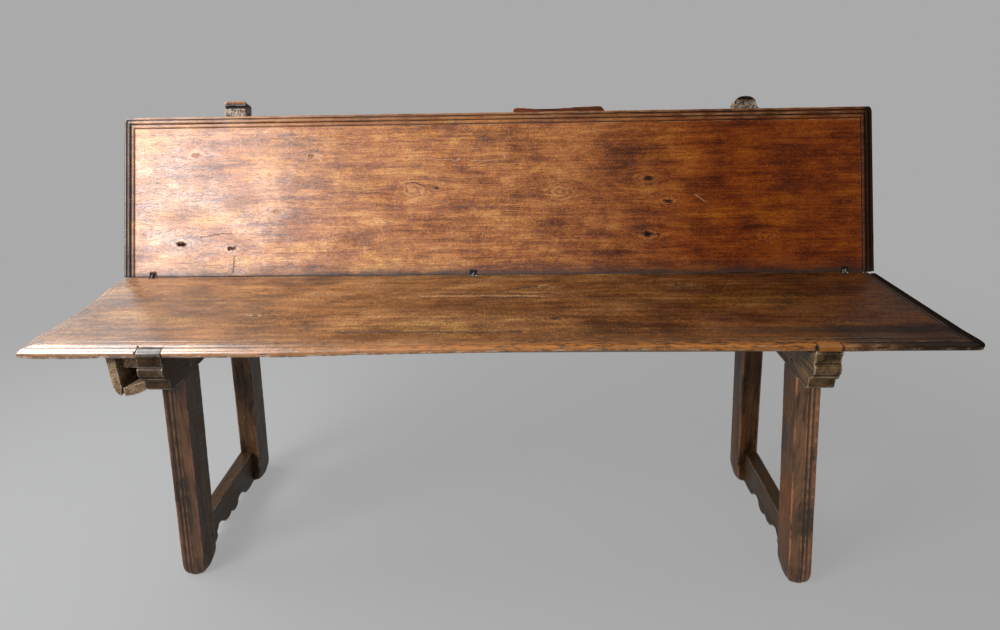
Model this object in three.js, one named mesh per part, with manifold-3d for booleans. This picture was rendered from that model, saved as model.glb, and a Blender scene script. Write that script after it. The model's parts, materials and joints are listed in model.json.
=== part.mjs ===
// A long walnut bench whose reclined back folds forward flat onto the seat.
// Lengths are in millimetres. X runs along the bench, Y from front to rear and Z up from the floor.
// Left and right are as seen by someone who stands in front of the bench.

import * as THREE from 'three';
import { mergeVertices } from 'three/addons/utils/BufferGeometryUtils.js';
import Module from 'manifold-3d';

const wasm = await Module();
wasm.setup();

const degrees = THREE.MathUtils.degToRad;

// The bench as a whole. The back is longer than the seat by an excess, and sits a little to the left.
const seatLength = 1556;
const seatHeight = 500;
const seatDepth = 358.5;
const backExcess = 2;
const backShift = -2.4;
const backHeight = 338;
const recline = degrees(22.6);

// Clearances: pieces that fit each other, the fold line, and how far a cut runs past a face.
const fitGap = 0.3;
const foldGap = 0.6;
const overrun = 5;

// The seat plank, its bevelled underside and the moulding round its front and ends.
const seatThickness = 26;
const lipThickness = 10.5;
const lipDrop = 3.5;
const seatBevel = 32;
const seatMoulding = 28;
// The left end isn't square: it runs in towards the front. Both front corners are worn round.
const endSkew = { left: 16, right: 0 };
const cornerWearAlong = { left: 5, right: 7 };
const cornerWearBack = 30;
const cornerSteps = 6;
// Each pair is inset from the edge and rise above the lip, as shares of the moulding's width and drop.
const seatMouldingShares = [
  [0.05, 0.0], [0.3, 0.16], [0.38, -0.1], [0.46, -0.06], [0.54, 0.3],
  [0.68, 0.68], [0.84, 0.86], [0.94, 0.76], [1.0, 1.0],
];

// The back plank and the ridged moulding round its top and ends.
const backThickness = 26;
const backMoulding = 27;
const backMouldingDrop = 5;
const backEase = 3;
// Each pair is inset from the edge and depth below the face, as shares of the width and drop.
const backMouldingShares = [
  [0.0, 0.9], [0.04, 0.6], [0.17, 0.55], [0.22, 1.0], [0.28, 0.6], [0.4, 0.25], [0.5, 0.45],
  [0.56, 0.95], [0.62, 0.4], [0.74, 0.08], [0.85, 0.25], [0.9, 0.6], [0.96, 0.0],
];

// The two bearers under the seat, their carved front ends and the dovetail that holds each of them.
const bearerWidth = 43.5;
const bearerHeight = 57;
const bearerTail = 61;
const bearerTailChamfer = 10;
const overhang = { left: 234, right: 240.5 };
const corbelReach = 7;
// Each pair is reach in front of the lip and height, as shares of the reach and of the front's height.
const corbelShares = [
  [0.3, 1.0], [0.43, 0.99], [0.43, 0.95], [0.1, 0.92], [-0.2, 0.86], [-0.15, 0.78], [0.2, 0.71],
  [0.6, 0.68], [0.85, 0.65], [1.0, 0.59], [1.0, 0.54], [0.85, 0.48], [0.6, 0.45], [0.05, 0.44],
  [0.05, 0.425], [0.5, 0.42], [0.5, 0.38], [0.15, 0.365], [-0.1, 0.31], [-1.0, 0.3],
  [-1.2, 0.05], [-1.9, 0.0],
];
const headDepth = 15;
const headWidth = 42;
const headSink = 6;
const tongueHeight = 12;
const tongueNeck = 28;
const tongueTop = 35;

// The legs. They splay outward along the bench and lean apart from front to rear.
const legWidth = 43;
const legDepth = 62.3;
const legSplay = degrees(4.55);
const frontLegLean = { left: degrees(2.1), right: degrees(3.8) };
const rearLegLean = degrees(1.6);
const frontLegSetback = 51.5;
const rearLegInset = 26;
const legEase = 2.5;
const reedDepth = 3;
// Each pair is the place across the front from the outer side and the depth, both as shares.
const reedShares = [
  [0.0, 0.8], [0.04, 0.15], [0.12, 0.0], [0.2, 0.2], [0.24, 0.95], [0.28, 0.3], [0.33, 0.08],
  [0.38, 0.3], [0.43, 1.0], [0.48, 0.1], [0.51, 0.1], [0.54, 0.45], [0.96, 0.4], [1.0, 0.9],
];
const legTenonHeight = 30;
const legTenonThickness = 15;
const legTenonShoulder = 10;

// The scalloped stretchers between the legs.
const stretcherTop = 81.5;
const stretcherDepth = 78.5;
const stretcherThickness = 29;
const stretcherTenonReach = 24;
const stretcherTenonHeight = 34;
const stretcherTenonThickness = 12;
const stretcherTenonDrop = 9;
// Each pair is the place along the lower edge from front to rear and the height, both as shares.
const scallopShares = [
  [0.0, 0.03], [0.07, 0.0], [0.13, 0.05], [0.16, 0.15], [0.155, 0.26], [0.18, 0.34], [0.2, 0.4],
  [0.25, 0.36], [0.29, 0.26], [0.33, 0.17], [0.39, 0.14], [0.43, 0.16], [0.45, 0.2], [0.48, 0.13],
  [0.53, 0.08], [0.58, 0.1], [0.61, 0.17], [0.615, 0.24], [0.65, 0.27], [0.7, 0.25],
  [0.74, 0.16], [0.78, 0.05], [0.86, 0.0], [1.0, 0.02],
];

// Wooden pegs, left a little proud of the faces that they go through.
const pegRadius = 4;
const stretcherPegRadius = 3;
const pegProud = 0.8;
const pegSides = 10;

// The battens on the rear of the back. Each stands on a bearer and its head stands above the back.
const battenDepth = 35.5;
const battenWidth = { left: 46, right: 68 };
const battenRise = { left: 41, right: 34.5 };
const battenShift = { left: -9.5, right: -9 };
const battenTongueDepth = 9;
const battenTongueNeck = 24;
const battenTongueTop = 30;
const battenTongueStop = 34;
const headGrooveHeight = 6;
const headGrooveDepth = 3.5;
const headCap = 12;
const headEase = 3.5;
// The right head is a dome on hollow shoulders.
const domeWidth = 47.5;
const domeHeight = 17;
const shoulderHeight = 11;
const domeSteps = 12;
const shoulderSteps = 4;

// The iron hinges: on each of them an eye from the seat is linked with an eye from the back.
const wireRadius = 1.8;
const eyeSlack = 0.5;
const hingeInset = 62;
const middleHingeShift = -40;
const clenchLength = 28;
const clenchThickness = 2;
const wireSides = 8;
const eyeSteps = 16;
const shankAngle = degrees(45);

// The grip on the rear of the back, with its top edge worn hollow, and its two nails.
const gripLength = 195.5;
const gripShift = 138;
const gripThickness = 20;
const gripHeight = 50;
const gripRise = 16.5;
// Each pair is the place along the top edge from the left and the height, as shares of length and rise.
const gripTopShares = [
  [0.0, 0.55], [0.015, 0.9], [0.06, 1.0], [0.14, 0.93], [0.3, 0.78], [0.5, 0.84], [0.72, 0.98],
  [0.92, 1.06], [0.965, 1.0], [1.0, 0.45],
];
const gripFootEase = 8;
const nailRadius = 2;
const nailHeadRadius = 4.5;
const nailHeadHeight = 2.4;
const nailSides = 8;
const nailBite = 14;
const gripNailInset = 26;

// The pocket of bare wood under the seat, outside the left bearer.
const pocketSetback = 20;
const pocketDepth = 98;
const pocketLedgeSetback = 15;
const pocketLedgeHeight = 28;
const pocketWidth = 65.5;
const pocketHeight = 74;
const pocketWall = 17.5;
const pocketBackThickness = 24;
const pocketFloorRise = 15;
const pocketFloorCrown = 4;
const pocketCornerShares = [[0.72, 0.0], [0.3, 0.06], [0.07, 0.17], [0.0, 0.32]];
const pocketFloorSteps = 6;

// Places that follow from the sizes above.
const backLength = seatLength + backExcess;
const foldY = seatDepth + foldGap;
const foldZ = seatHeight + foldGap;
const bearerTopZ = seatHeight - seatThickness;
const bearerBottomZ = bearerTopZ - bearerHeight;
const bearerRearY = seatDepth + bearerTail;
const rearLegFrontY = bearerRearY - rearLegInset - legDepth;
const lipTopZ = seatHeight - lipDrop;
const lipBottomZ = lipTopZ - lipThickness + lipDrop / 2;
const bearerX = { left: overhang.left - seatLength / 2, right: seatLength / 2 - overhang.right };
const eyeRadius = 2 * wireRadius + eyeSlack;
const eyeReach = eyeRadius + wireRadius;
const hingeXs = {
  left: hingeInset - seatLength / 2,
  middle: middleHingeShift,
  right: seatLength / 2 - hingeInset,
};

// Finishes seen on the bench.
const finishes = {
  seatWood: { color: 0x6b3a1e, roughness: 0.34, metalness: 0 },
  backWood: { color: 0x7c4220, roughness: 0.3, metalness: 0 },
  legWood: { color: 0x46301f, roughness: 0.5, metalness: 0 },
  pegWood: { color: 0x3a2618, roughness: 0.6, metalness: 0 },
  rawWood: { color: 0x9c8160, roughness: 0.85, metalness: 0 },
  iron: { color: 0x3b3734, roughness: 0.55, metalness: 0.9 },
};

const axisX = new THREE.Vector3(1, 0, 0);
const axisY = new THREE.Vector3(0, 1, 0);
const axisZ = new THREE.Vector3(0, 0, 1);

function extrude(outline, length) {
  const shape = new THREE.Shape(outline.map(([a, b]) => new THREE.Vector2(a, b)));
  return new THREE.ExtrudeGeometry(shape, { depth: length, bevelEnabled: false, steps: 1 });
}

// The outline's points are [y, z], and the solid runs along X.
function alongX(outline, x0, x1) {
  const place = new THREE.Matrix4().makeBasis(axisY, axisZ, axisX).setPosition(x0, 0, 0);
  return extrude(outline, x1 - x0).applyMatrix4(place);
}

// The outline's points are [x, z], and the solid runs along Y.
function alongY(outline, y0, y1) {
  const place = new THREE.Matrix4().makeBasis(axisX, axisZ, axisY.clone().negate()).setPosition(0, y1, 0);
  return extrude(outline, y1 - y0).applyMatrix4(place);
}

// The outline's points are [x, y], and the solid runs along Z.
function alongZ(outline, z0, z1) {
  return extrude(outline, z1 - z0).translate(0, 0, z0);
}

function rectangle(a0, a1, b0, b1) {
  return [[a0, b0], [a1, b0], [a1, b1], [a0, b1]];
}

function box(x0, x1, y0, y1, z0, z1) {
  return alongZ(rectangle(x0, x1, y0, y1), z0, z1);
}

// A round bar from one point along a direction.
function bar(radius, sides, start, direction, length) {
  const turn = new THREE.Quaternion().setFromUnitVectors(axisY, direction);
  const geometry = new THREE.CylinderGeometry(radius, radius, length, sides);
  geometry.translate(0, length / 2, 0);
  geometry.applyQuaternion(turn);
  return geometry.translate(start.x, start.y, start.z);
}

function toSolid(geometry) {
  const bare = geometry.clone();
  bare.deleteAttribute('normal');
  bare.deleteAttribute('uv');
  const merged = mergeVertices(bare);
  return new wasm.Manifold(new wasm.Mesh({
    numProp: 3,
    vertProperties: new Float32Array(merged.attributes.position.array),
    triVerts: new Uint32Array(merged.index.array),
  }));
}

function toGeometry(solid) {
  const mesh = solid.getMesh();
  const geometry = new THREE.BufferGeometry();
  geometry.setAttribute('position', new THREE.BufferAttribute(new Float32Array(mesh.vertProperties), 3));
  geometry.setIndex(new THREE.BufferAttribute(new Uint32Array(mesh.triVerts), 1));
  geometry.computeVertexNormals();
  return geometry;
}

const join = (first, ...others) => others.reduce((sum, next) => sum.add(toSolid(next)), toSolid(first));
const cut = (solid, ...cutters) => cutters.reduce((rest, next) => rest.subtract(toSolid(next)), solid);
const overlap = (first, second) => toSolid(first).intersect(toSolid(second));

function addPiece(parent, name, solid, finish, x = 0, y = 0, z = 0) {
  const mesh = new THREE.Mesh(toGeometry(solid), new THREE.MeshStandardMaterial(finish));
  mesh.name = name;
  mesh.position.set(x, y, z);
  parent.add(mesh);
}

// The dovetail of a bearer or batten: [across, up] with its neck at height zero.
function dovetail(neck, top, height, grow) {
  return [
    [-neck / 2 - grow, 0], [neck / 2 + grow, 0],
    [top / 2 + grow, height + grow], [-top / 2 - grow, height + grow],
  ];
}

const shift = (outline, a, b) => outline.map(([p, q]) => [p + a, q + b]);

// The shank of an eye starts at the fold line and goes through its plank to the far face.
function shankDirection(sideways) {
  return new THREE.Vector3(0, sideways * Math.cos(shankAngle), sideways * Math.sin(shankAngle));
}

// The moulded edge of the seat: [inset from the edge, height above the underside].
function seatEdge() {
  const lipTop = seatThickness - lipDrop;
  const lipBottom = lipBottomZ - bearerTopZ;
  const round = lipDrop / 3;
  const moulding = seatMouldingShares.map(([inset, rise]) => [
    inset * seatMoulding, lipTop + rise * lipDrop,
  ]);
  return [[seatBevel, 0], [round, lipBottom - round / 2], [0, lipBottom + round], [0, lipTop - round], ...moulding];
}

// One end of the seat, moulded like its front and sheared so that it runs in towards the front.
function seatEnd(side, outward) {
  const end = seatLength / 2;
  const far = end + overrun;
  const outline = [
    ...seatEdge().map(([inset, rise]) => [outward * (end - inset), rise]),
    [-outward * far, seatThickness], [-outward * far, 0],
  ];
  const slope = outward * endSkew[side] / seatDepth;
  return alongY(shift(outline, 0, bearerTopZ), -overrun, seatDepth + overrun)
    .applyMatrix4(new THREE.Matrix4().set(
      1, slope, 0, -slope * seatDepth,
      0, 1, 0, 0,
      0, 0, 1, 0,
      0, 0, 0, 1,
    ));
}

// The seat seen from above, with its two worn front corners.
function seatPlan() {
  const end = seatLength / 2;
  const corner = (side, outward) => {
    const points = [];
    for (let step = 0; step <= cornerSteps; step += 1) {
      const angle = Math.PI / 2 * step / cornerSteps;
      const inset = endSkew[side] + cornerWearAlong[side] * (1 - Math.cos(angle));
      points.push([outward * (end - inset), cornerWearBack * (1 - Math.sin(angle))]);
    }
    return points;
  };
  return [[end, seatDepth], [-end, seatDepth], ...corner('left', -1), ...corner('right', 1).reverse()];
}

function headNotch(x) {
  const half = headWidth / 2 + fitGap;
  return box(x - half, x + half, -corbelReach, headDepth + fitGap, bearerTopZ - overrun, seatHeight + overrun);
}

// What a hinge takes out of a plank: room for both eyes, for the shank and for the eye's own ring.
function hingeCuts(origin, direction) {
  const half = eyeReach + eyeSlack;
  const room = bar(half, eyeSteps, origin.clone().setX(origin.x - half), axisX, 2 * half);
  const bore = bar(wireRadius + fitGap, wireSides, origin, direction, clenchLength * 2);
  return [room, bore];
}

function buildSeat(parent) {
  const end = seatLength / 2;
  const front = [...seatEdge(), [seatDepth, seatThickness], [seatDepth, 0]];
  let solid = overlap(alongX(shift(front, 0, bearerTopZ), -end, end), seatEnd('left', -1))
    .intersect(toSolid(seatEnd('right', 1)))
    .intersect(toSolid(alongZ(seatPlan(), bearerTopZ - overrun, seatHeight + overrun)));
  for (const x of Object.values(bearerX)) {
    const groove = dovetail(tongueNeck, tongueTop, tongueHeight, fitGap);
    solid = cut(
      solid,
      alongY(shift(groove, x, bearerTopZ), -overrun, seatDepth + overrun),
      headNotch(x),
    );
  }
  for (const x of Object.values(hingeXs)) {
    const origin = new THREE.Vector3(x, foldY, foldZ);
    solid = cut(solid, ...hingeCuts(origin, shankDirection(-1)));
  }
  addPiece(parent, 'seat_board', solid, finishes.seatWood);
}

// An eye with its shank and the ends that are clenched over on the plank's far face.
// Its ring turns about X through the origin. The shank goes along the direction, for the given depth.
function eyeSolid(ringAcross, direction, depth) {
  const ring = new THREE.TorusGeometry(eyeRadius, wireRadius, wireSides, eyeSteps);
  const start = direction.clone();
  let reach = depth / Math.sin(shankAngle);
  if (ringAcross) {
    ring.rotateY(Math.PI / 2);
    start.multiplyScalar(eyeRadius);
  } else {
    ring.rotateX(Math.atan2(direction.z, direction.y));
    ring.translate(0, direction.y * eyeRadius, direction.z * eyeRadius);
    start.multiplyScalar(2 * eyeRadius);
  }
  reach -= start.length();
  const shank = bar(wireRadius, wireSides, start, direction, reach + wireRadius);
  return { ring, shank };
}

function buildSeatEyes(parent) {
  const direction = shankDirection(-1);
  const depth = seatThickness + foldGap;
  const { ring, shank } = eyeSolid(true, direction, depth);
  const half = clenchLength / 2;
  const clenchY = -depth / Math.tan(shankAngle);
  const clench = box(
    -half, half, clenchY - wireRadius, clenchY + wireRadius,
    -depth - fitGap - clenchThickness, -depth - fitGap,
  );
  const solid = join(ring, shank, clench);
  for (const [side, x] of Object.entries(hingeXs)) {
    addPiece(parent, `${side}_seat_hinge_eye`, solid, finishes.iron, x, foldY, foldZ);
  }
}

function buildBackEyes(parent) {
  const direction = shankDirection(1);
  const depth = backThickness + foldGap;
  const { ring, shank } = eyeSolid(false, direction, depth);
  const half = clenchLength / 2;
  const clenchZ = depth * Math.tan(shankAngle);
  const clench = box(
    -half, half, depth + fitGap, depth + fitGap + clenchThickness,
    clenchZ - wireRadius, clenchZ + wireRadius,
  );
  const solid = join(ring, shank, clench);
  for (const [side, x] of Object.entries(hingeXs)) {
    addPiece(parent, `${side}_back_hinge_eye`, solid, finishes.iron, x, 0, 0);
  }
}

// Shears a leg's upright solid so that it splays outward and leans, about the bearer's underside.
function lean(geometry, slopeX, slopeY) {
  const top = bearerBottomZ;
  return geometry.applyMatrix4(new THREE.Matrix4().set(
    1, 0, -slopeX, slopeX * top,
    0, 1, -slopeY, slopeY * top,
    0, 0, 1, 0,
    0, 0, 0, 1,
  ));
}

// The legs of one trestle, their stretcher and their bearer. Inside, zero is the bearer's middle.
function buildTrestle(parent, side, outward) {
  const trestle = new THREE.Group();
  trestle.position.x = bearerX[side];
  parent.add(trestle);

  // A place across the trestle, measured outward from its inner face.
  const across = (distance) => outward * (distance - bearerWidth / 2);
  const slopeX = outward * Math.tan(legSplay);
  const legs = {
    front: { frontY: frontLegSetback, slopeY: -Math.tan(frontLegLean[side]) },
    rear: { frontY: rearLegFrontY, slopeY: Math.tan(rearLegLean) },
  };
  const legFrontAt = (leg, z) => leg.frontY + leg.slopeY * (bearerBottomZ - z);
  const pegLength = bearerWidth + 2 * pegProud;
  const pegZ = bearerBottomZ + legTenonHeight / 2;

  const legTenon = (leg, grow) => {
    const inner = (legWidth - legTenonThickness) / 2 - grow;
    const outer = (legWidth + legTenonThickness) / 2 + grow;
    const y0 = leg.frontY + legTenonShoulder - grow;
    const y1 = leg.frontY + legDepth - legTenonShoulder + grow;
    const outline = rectangle(across(inner), across(outer), y0, y1);
    const z0 = bearerBottomZ - overrun;
    return lean(alongZ(outline, z0, bearerBottomZ + legTenonHeight + grow), slopeX, leg.slopeY);
  };
  const legPegHole = (leg) => {
    const start = new THREE.Vector3(-pegLength, legFrontAt(leg, pegZ) + legDepth / 2, pegZ);
    return bar(pegRadius + fitGap, pegSides, start, axisX, 2 * pegLength);
  };

  // Stretcher: its tenons go into the legs, and each is pinned by a peg.
  const tenonTop = stretcherTop - stretcherTenonDrop;
  const tenonBottom = tenonTop - stretcherTenonHeight;
  const tenonMiddle = (tenonTop + tenonBottom) / 2;
  const stretcherInner = legWidth - stretcherThickness;
  const shoulder = {
    front: (z) => legFrontAt(legs.front, z) + legDepth + fitGap,
    rear: (z) => legFrontAt(legs.rear, z) - fitGap,
  };
  const stretcherTenon = (grow) => {
    const inner = stretcherInner + (stretcherThickness - stretcherTenonThickness) / 2 - grow;
    const outer = inner + stretcherTenonThickness + 2 * grow;
    const y0 = shoulder.front(tenonMiddle) - stretcherTenonReach - grow;
    const y1 = shoulder.rear(tenonMiddle) + stretcherTenonReach + grow;
    const outline = rectangle(y0, y1, tenonBottom - grow, tenonTop + grow);
    const ends = [across(inner), across(outer)].sort((a, b) => a - b);
    return lean(alongX(outline, ...ends), slopeX, 0);
  };
  const stretcherPegY = {
    front: shoulder.front(tenonMiddle) - stretcherTenonReach / 2,
    rear: shoulder.rear(tenonMiddle) + stretcherTenonReach / 2,
  };
  const pegSpan = legWidth + 2 * pegProud;
  const legMiddleAt = (z) => across(legWidth / 2) + slopeX * (bearerBottomZ - z);
  const stretcherPegHole = (end) => {
    const start = new THREE.Vector3(legMiddleAt(tenonMiddle) - pegSpan, stretcherPegY[end], tenonMiddle);
    return bar(stretcherPegRadius + fitGap, pegSides, start, axisX, 2 * pegSpan);
  };

  // Legs: reeded front faces on the front pair, plain faces on the rear pair.
  for (const [end, leg] of Object.entries(legs)) {
    const plain = [[legWidth, legEase], [legWidth - legEase, 0], [legEase, 0], [0, legEase]];
    const reeded = reedShares.map(([place, depth]) => [legWidth * (1 - place), depth * reedDepth]);
    const face = end === 'front' ? reeded : plain;
    const section = [...face, [0, legDepth - legEase], [legEase, legDepth],
      [legWidth - legEase, legDepth], [legWidth, legDepth - legEase]];
    const outline = section.map(([place, depth]) => [across(place), leg.frontY + depth]);
    const post = lean(alongZ(outline, 0, bearerBottomZ - fitGap), slopeX, leg.slopeY);
    const solid = cut(join(post, legTenon(leg, 0)), legPegHole(leg), stretcherTenon(fitGap), stretcherPegHole(end));
    addPiece(trestle, `${side}_${end}_leg`, solid, finishes.legWood);

    const peg = bar(pegRadius, pegSides, new THREE.Vector3(), axisX, pegLength);
    addPiece(
      trestle, `${side}_${end}_leg_peg`, toSolid(peg), finishes.pegWood,
      -pegLength / 2, legFrontAt(leg, pegZ) + legDepth / 2, pegZ,
    );
    const pin = bar(stretcherPegRadius, pegSides, new THREE.Vector3(), axisX, pegSpan);
    addPiece(
      trestle, `${side}_${end}_stretcher_peg`, toSolid(pin), finishes.pegWood,
      legMiddleAt(tenonMiddle) - pegSpan / 2, stretcherPegY[end], tenonMiddle,
    );
  }

  const bottom = stretcherTop - stretcherDepth;
  const lower = scallopShares.map(([place, rise]) => {
    const z = bottom + rise * stretcherDepth;
    return [THREE.MathUtils.lerp(shoulder.front(z), shoulder.rear(z), place), z];
  });
  const apron = [...lower, [shoulder.rear(stretcherTop), stretcherTop], [shoulder.front(stretcherTop), stretcherTop]];
  const faces = [across(stretcherInner), across(legWidth)].sort((a, b) => a - b);
  const stretcher = cut(
    join(lean(alongX(apron, ...faces), slopeX, 0), stretcherTenon(0)),
    stretcherPegHole('front'), stretcherPegHole('rear'),
  );
  addPiece(trestle, `${side}_stretcher`, stretcher, finishes.legWood);

  // Bearer: carved at the front, let into the seat by a dovetail whose head shows in the lip.
  const frontHeight = lipBottomZ - fitGap - bearerBottomZ;
  const carved = corbelShares.map(([reach, rise]) => [-reach * corbelReach, bearerBottomZ + rise * frontHeight]);
  const bearerOutline = [
    ...carved,
    [bearerRearY - bearerTailChamfer, bearerBottomZ], [bearerRearY, bearerBottomZ + bearerTailChamfer],
    [bearerRearY, bearerTopZ - fitGap], [seatBevel, bearerTopZ - fitGap],
  ];
  const tongue = shift(dovetail(tongueNeck, tongueTop, tongueHeight + fitGap, 0), 0, bearerTopZ - fitGap);
  const headTop = seatHeight - headSink;
  const bearer = cut(
    join(
      alongX(bearerOutline, -bearerWidth / 2, bearerWidth / 2),
      alongY(tongue, headDepth / 2, seatDepth),
      box(-headWidth / 2, headWidth / 2, -corbelReach * corbelShares[0][0], headDepth, bearerTopZ - overrun, headTop),
    ),
    legTenon(legs.front, fitGap), legTenon(legs.rear, fitGap), legPegHole(legs.front), legPegHole(legs.rear),
    ...(side === 'left' ? [pocketNail(fitGap, -bearerX.left)] : []),
  );
  addPiece(trestle, `${side}_bearer`, bearer, finishes.legWood);
}

// Where the pocket's parts meet: its right side is the left bearer's outer face.
const pocket = {
  right: bearerX.left - bearerWidth / 2 - fitGap,
  left: bearerX.left - bearerWidth / 2 - pocketWidth,
  front: pocketSetback,
  rear: pocketSetback + pocketDepth,
  top: bearerTopZ - fitGap,
  bottom: bearerTopZ - pocketHeight,
};
pocket.inner = pocket.left + pocketWall;
pocket.ledgeFront = pocket.front + pocketLedgeSetback;
pocket.ledgeBottom = pocket.top - pocketLedgeHeight;
pocket.blockFront = pocket.rear - pocketBackThickness;
pocket.blockBottom = pocket.bottom + pocketWall + pocketFloorRise;
pocket.nailY = pocket.rear - pocketBackThickness / 2;

// The long nail that holds the pocket's side and block to the bearer.
function pocketNail(grow, offsetX) {
  const start = new THREE.Vector3(pocket.left - grow + offsetX, pocket.nailY, (pocket.top + pocket.blockBottom) / 2);
  return bar(nailRadius + grow, nailSides, start, axisX, pocketWidth + nailBite + 2 * grow);
}

// The short nail that holds the pocket's floor to its block, from below.
function pocketFloorNail(grow) {
  const x = (pocket.inner + pocket.right) / 2;
  const length = pocketWall + pocketFloorRise / 2 + nailBite + 2 * grow;
  const start = new THREE.Vector3(x, pocket.nailY, pocket.blockBottom + nailBite + grow - length);
  return bar(nailRadius + grow, nailSides, start, axisZ, length);
}

function buildPocket(parent) {
  const corner = pocketCornerShares.map(([a, b]) => [
    pocket.left + a * pocketWall, pocket.bottom + b * pocketHeight,
  ]);
  const side = [...corner, [pocket.left, pocket.top], [pocket.inner, pocket.top],
    [pocket.inner, pocket.bottom + pocketWall - fitGap], [pocket.inner - pocketWall / 4, pocket.bottom]];
  const sideSolid = cut(toSolid(alongY(side, pocket.front, pocket.rear)), pocketNail(fitGap, 0));
  addPiece(parent, 'pocket_side', sideSolid, finishes.rawWood);

  // The floor rises to the bearer, and its lower face is crowned.
  const floorLeft = pocket.inner + fitGap;
  const floorRight = pocket.right - nailRadius;
  const lower = [];
  for (let step = 0; step <= pocketFloorSteps; step += 1) {
    const share = step / pocketFloorSteps;
    const sag = pocketFloorCrown * Math.sin(Math.PI * share);
    lower.push([THREE.MathUtils.lerp(floorLeft, floorRight, share), pocket.bottom + share * pocketFloorRise - sag]);
  }
  const upper = lower.map(([x, z], step) => {
    const share = step / pocketFloorSteps;
    const swell = pocketFloorCrown * Math.sin(Math.PI * share);
    return [x, z + swell + pocketWall - fitGap];
  }).reverse();
  upper[0][1] -= fitGap;
  const trimmed = overlap(
    alongY([...lower, ...upper], pocket.front, pocket.rear),
    box(pocket.left, pocket.right, pocket.front - overrun, pocket.rear + overrun,
      pocket.bottom - overrun, pocket.blockBottom - fitGap),
  );
  addPiece(parent, 'pocket_floor', cut(trimmed, pocketFloorNail(fitGap)), finishes.rawWood);

  // The block closes the pocket's rear, and a ledge of it reaches forward under the seat.
  const profile = [
    [pocket.ledgeFront, pocket.ledgeBottom], [pocket.blockFront, pocket.ledgeBottom],
    [pocket.blockFront, pocket.blockBottom], [pocket.rear, pocket.blockBottom],
    [pocket.rear, pocket.top], [pocket.ledgeFront, pocket.top],
  ];
  const block = cut(
    toSolid(alongX(profile, pocket.inner + fitGap, pocket.right)),
    pocketNail(fitGap, 0), pocketFloorNail(fitGap),
  );
  addPiece(parent, 'pocket_block', block, finishes.rawWood);
}

function nailSolid(shank, head) {
  return join(shank, head);
}

function buildPocketNails(parent) {
  const middleZ = (pocket.top + pocket.blockBottom) / 2;
  const sideHead = bar(nailHeadRadius, nailSides,
    new THREE.Vector3(pocket.left - fitGap - nailHeadHeight, pocket.nailY, middleZ), axisX, nailHeadHeight);
  addPiece(parent, 'pocket_long_nail', nailSolid(pocketNail(0, -fitGap), sideHead), finishes.iron);
}

function buildGrip(parent) {
  const rear = foldGap + backThickness + fitGap;
  const left = gripShift - gripLength / 2;
  const bottom = backHeight + gripRise - gripHeight;
  const top = gripTopShares.map(([place, rise]) => [left + place * gripLength, backHeight + rise * gripRise]);
  const outline = [
    ...top, [left + gripLength, bottom + gripFootEase], [left + gripLength - gripFootEase, bottom],
    [left + gripFootEase, bottom], [left, bottom + gripFootEase],
  ];
  const nails = {
    left: left + gripNailInset,
    right: left + gripLength - gripNailInset,
  };
  const nailZ = bottom + (backHeight - bottom) / 2;
  const gripRear = rear + gripThickness;
  const holes = Object.values(nails).map((x) => gripNail(x, nailZ, gripRear, fitGap));
  addPiece(parent, 'lift_grip', cut(toSolid(alongY(outline, rear, gripRear)), ...holes), finishes.backWood);
  for (const [side, x] of Object.entries(nails)) {
    const head = bar(nailHeadRadius, nailSides,
      new THREE.Vector3(x, gripRear + fitGap, nailZ), axisY, nailHeadHeight);
    const shank = gripNail(x, nailZ, gripRear + fitGap, 0);
    addPiece(parent, `${side}_grip_nail`, nailSolid(shank, head), finishes.iron);
  }
  return holes;
}

// A nail's shank: it starts at the grip's rear face and bites into the back.
function gripNail(x, z, startY, grow) {
  const length = gripThickness + nailBite + grow;
  return bar(nailRadius + grow, nailSides, new THREE.Vector3(x, startY + grow - length, z), axisY, length);
}

// Height on the slope, below the fold line, at which a batten's foot meets the bearer under it.
function footAt(depth) {
  const drop = foldZ - bearerTopZ;
  return (depth * Math.sin(recline) - drop) / Math.cos(recline);
}

function buildBattens(parent, rear) {
  const cuts = [];
  for (const side of ['left', 'right']) {
    const x = bearerX[side] + battenShift[side];
    const half = battenWidth[side] / 2;
    const top = backHeight + battenRise[side];
    const far = rear + battenDepth;
    const profile = [
      [rear, footAt(rear)], [far, footAt(far)], [far, top - headEase], [far - headEase, top],
      [rear + headEase / 2, top], [rear, top - headEase / 2], [rear, top - headCap],
      [rear + headGrooveDepth, top - headCap - headGrooveHeight / 3],
      [rear + headGrooveDepth, top - headCap - headGrooveHeight * 2 / 3],
      [rear, top - headCap - headGrooveHeight],
    ];
    const low = footAt(rear) - overrun;
    const face = side === 'left'
      ? [[x - half, low], [x + half, low], [x + half, top - headEase], [x + half - headEase, top],
        [x - half + headEase, top], [x - half, top - headEase]]
      : domed(x, half, low, top);
    const tongue = (grow) => alongZ(
      shift(dovetail(battenTongueNeck, battenTongueTop, battenTongueDepth + fitGap, grow), x, 0)
        .map(([across, depth]) => [across, rear - depth]),
      foldGap - (grow ? overrun : 0), backHeight - battenTongueStop + grow,
    );
    const solid = overlap(alongX(profile, x - half - overrun, x + half + overrun), alongY(face, rear - overrun, far + overrun));
    addPiece(parent, `${side}_back_batten`, solid.add(toSolid(tongue(0))), finishes.legWood);
    cuts.push(tongue(fitGap));
  }
  return cuts;
}

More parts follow.
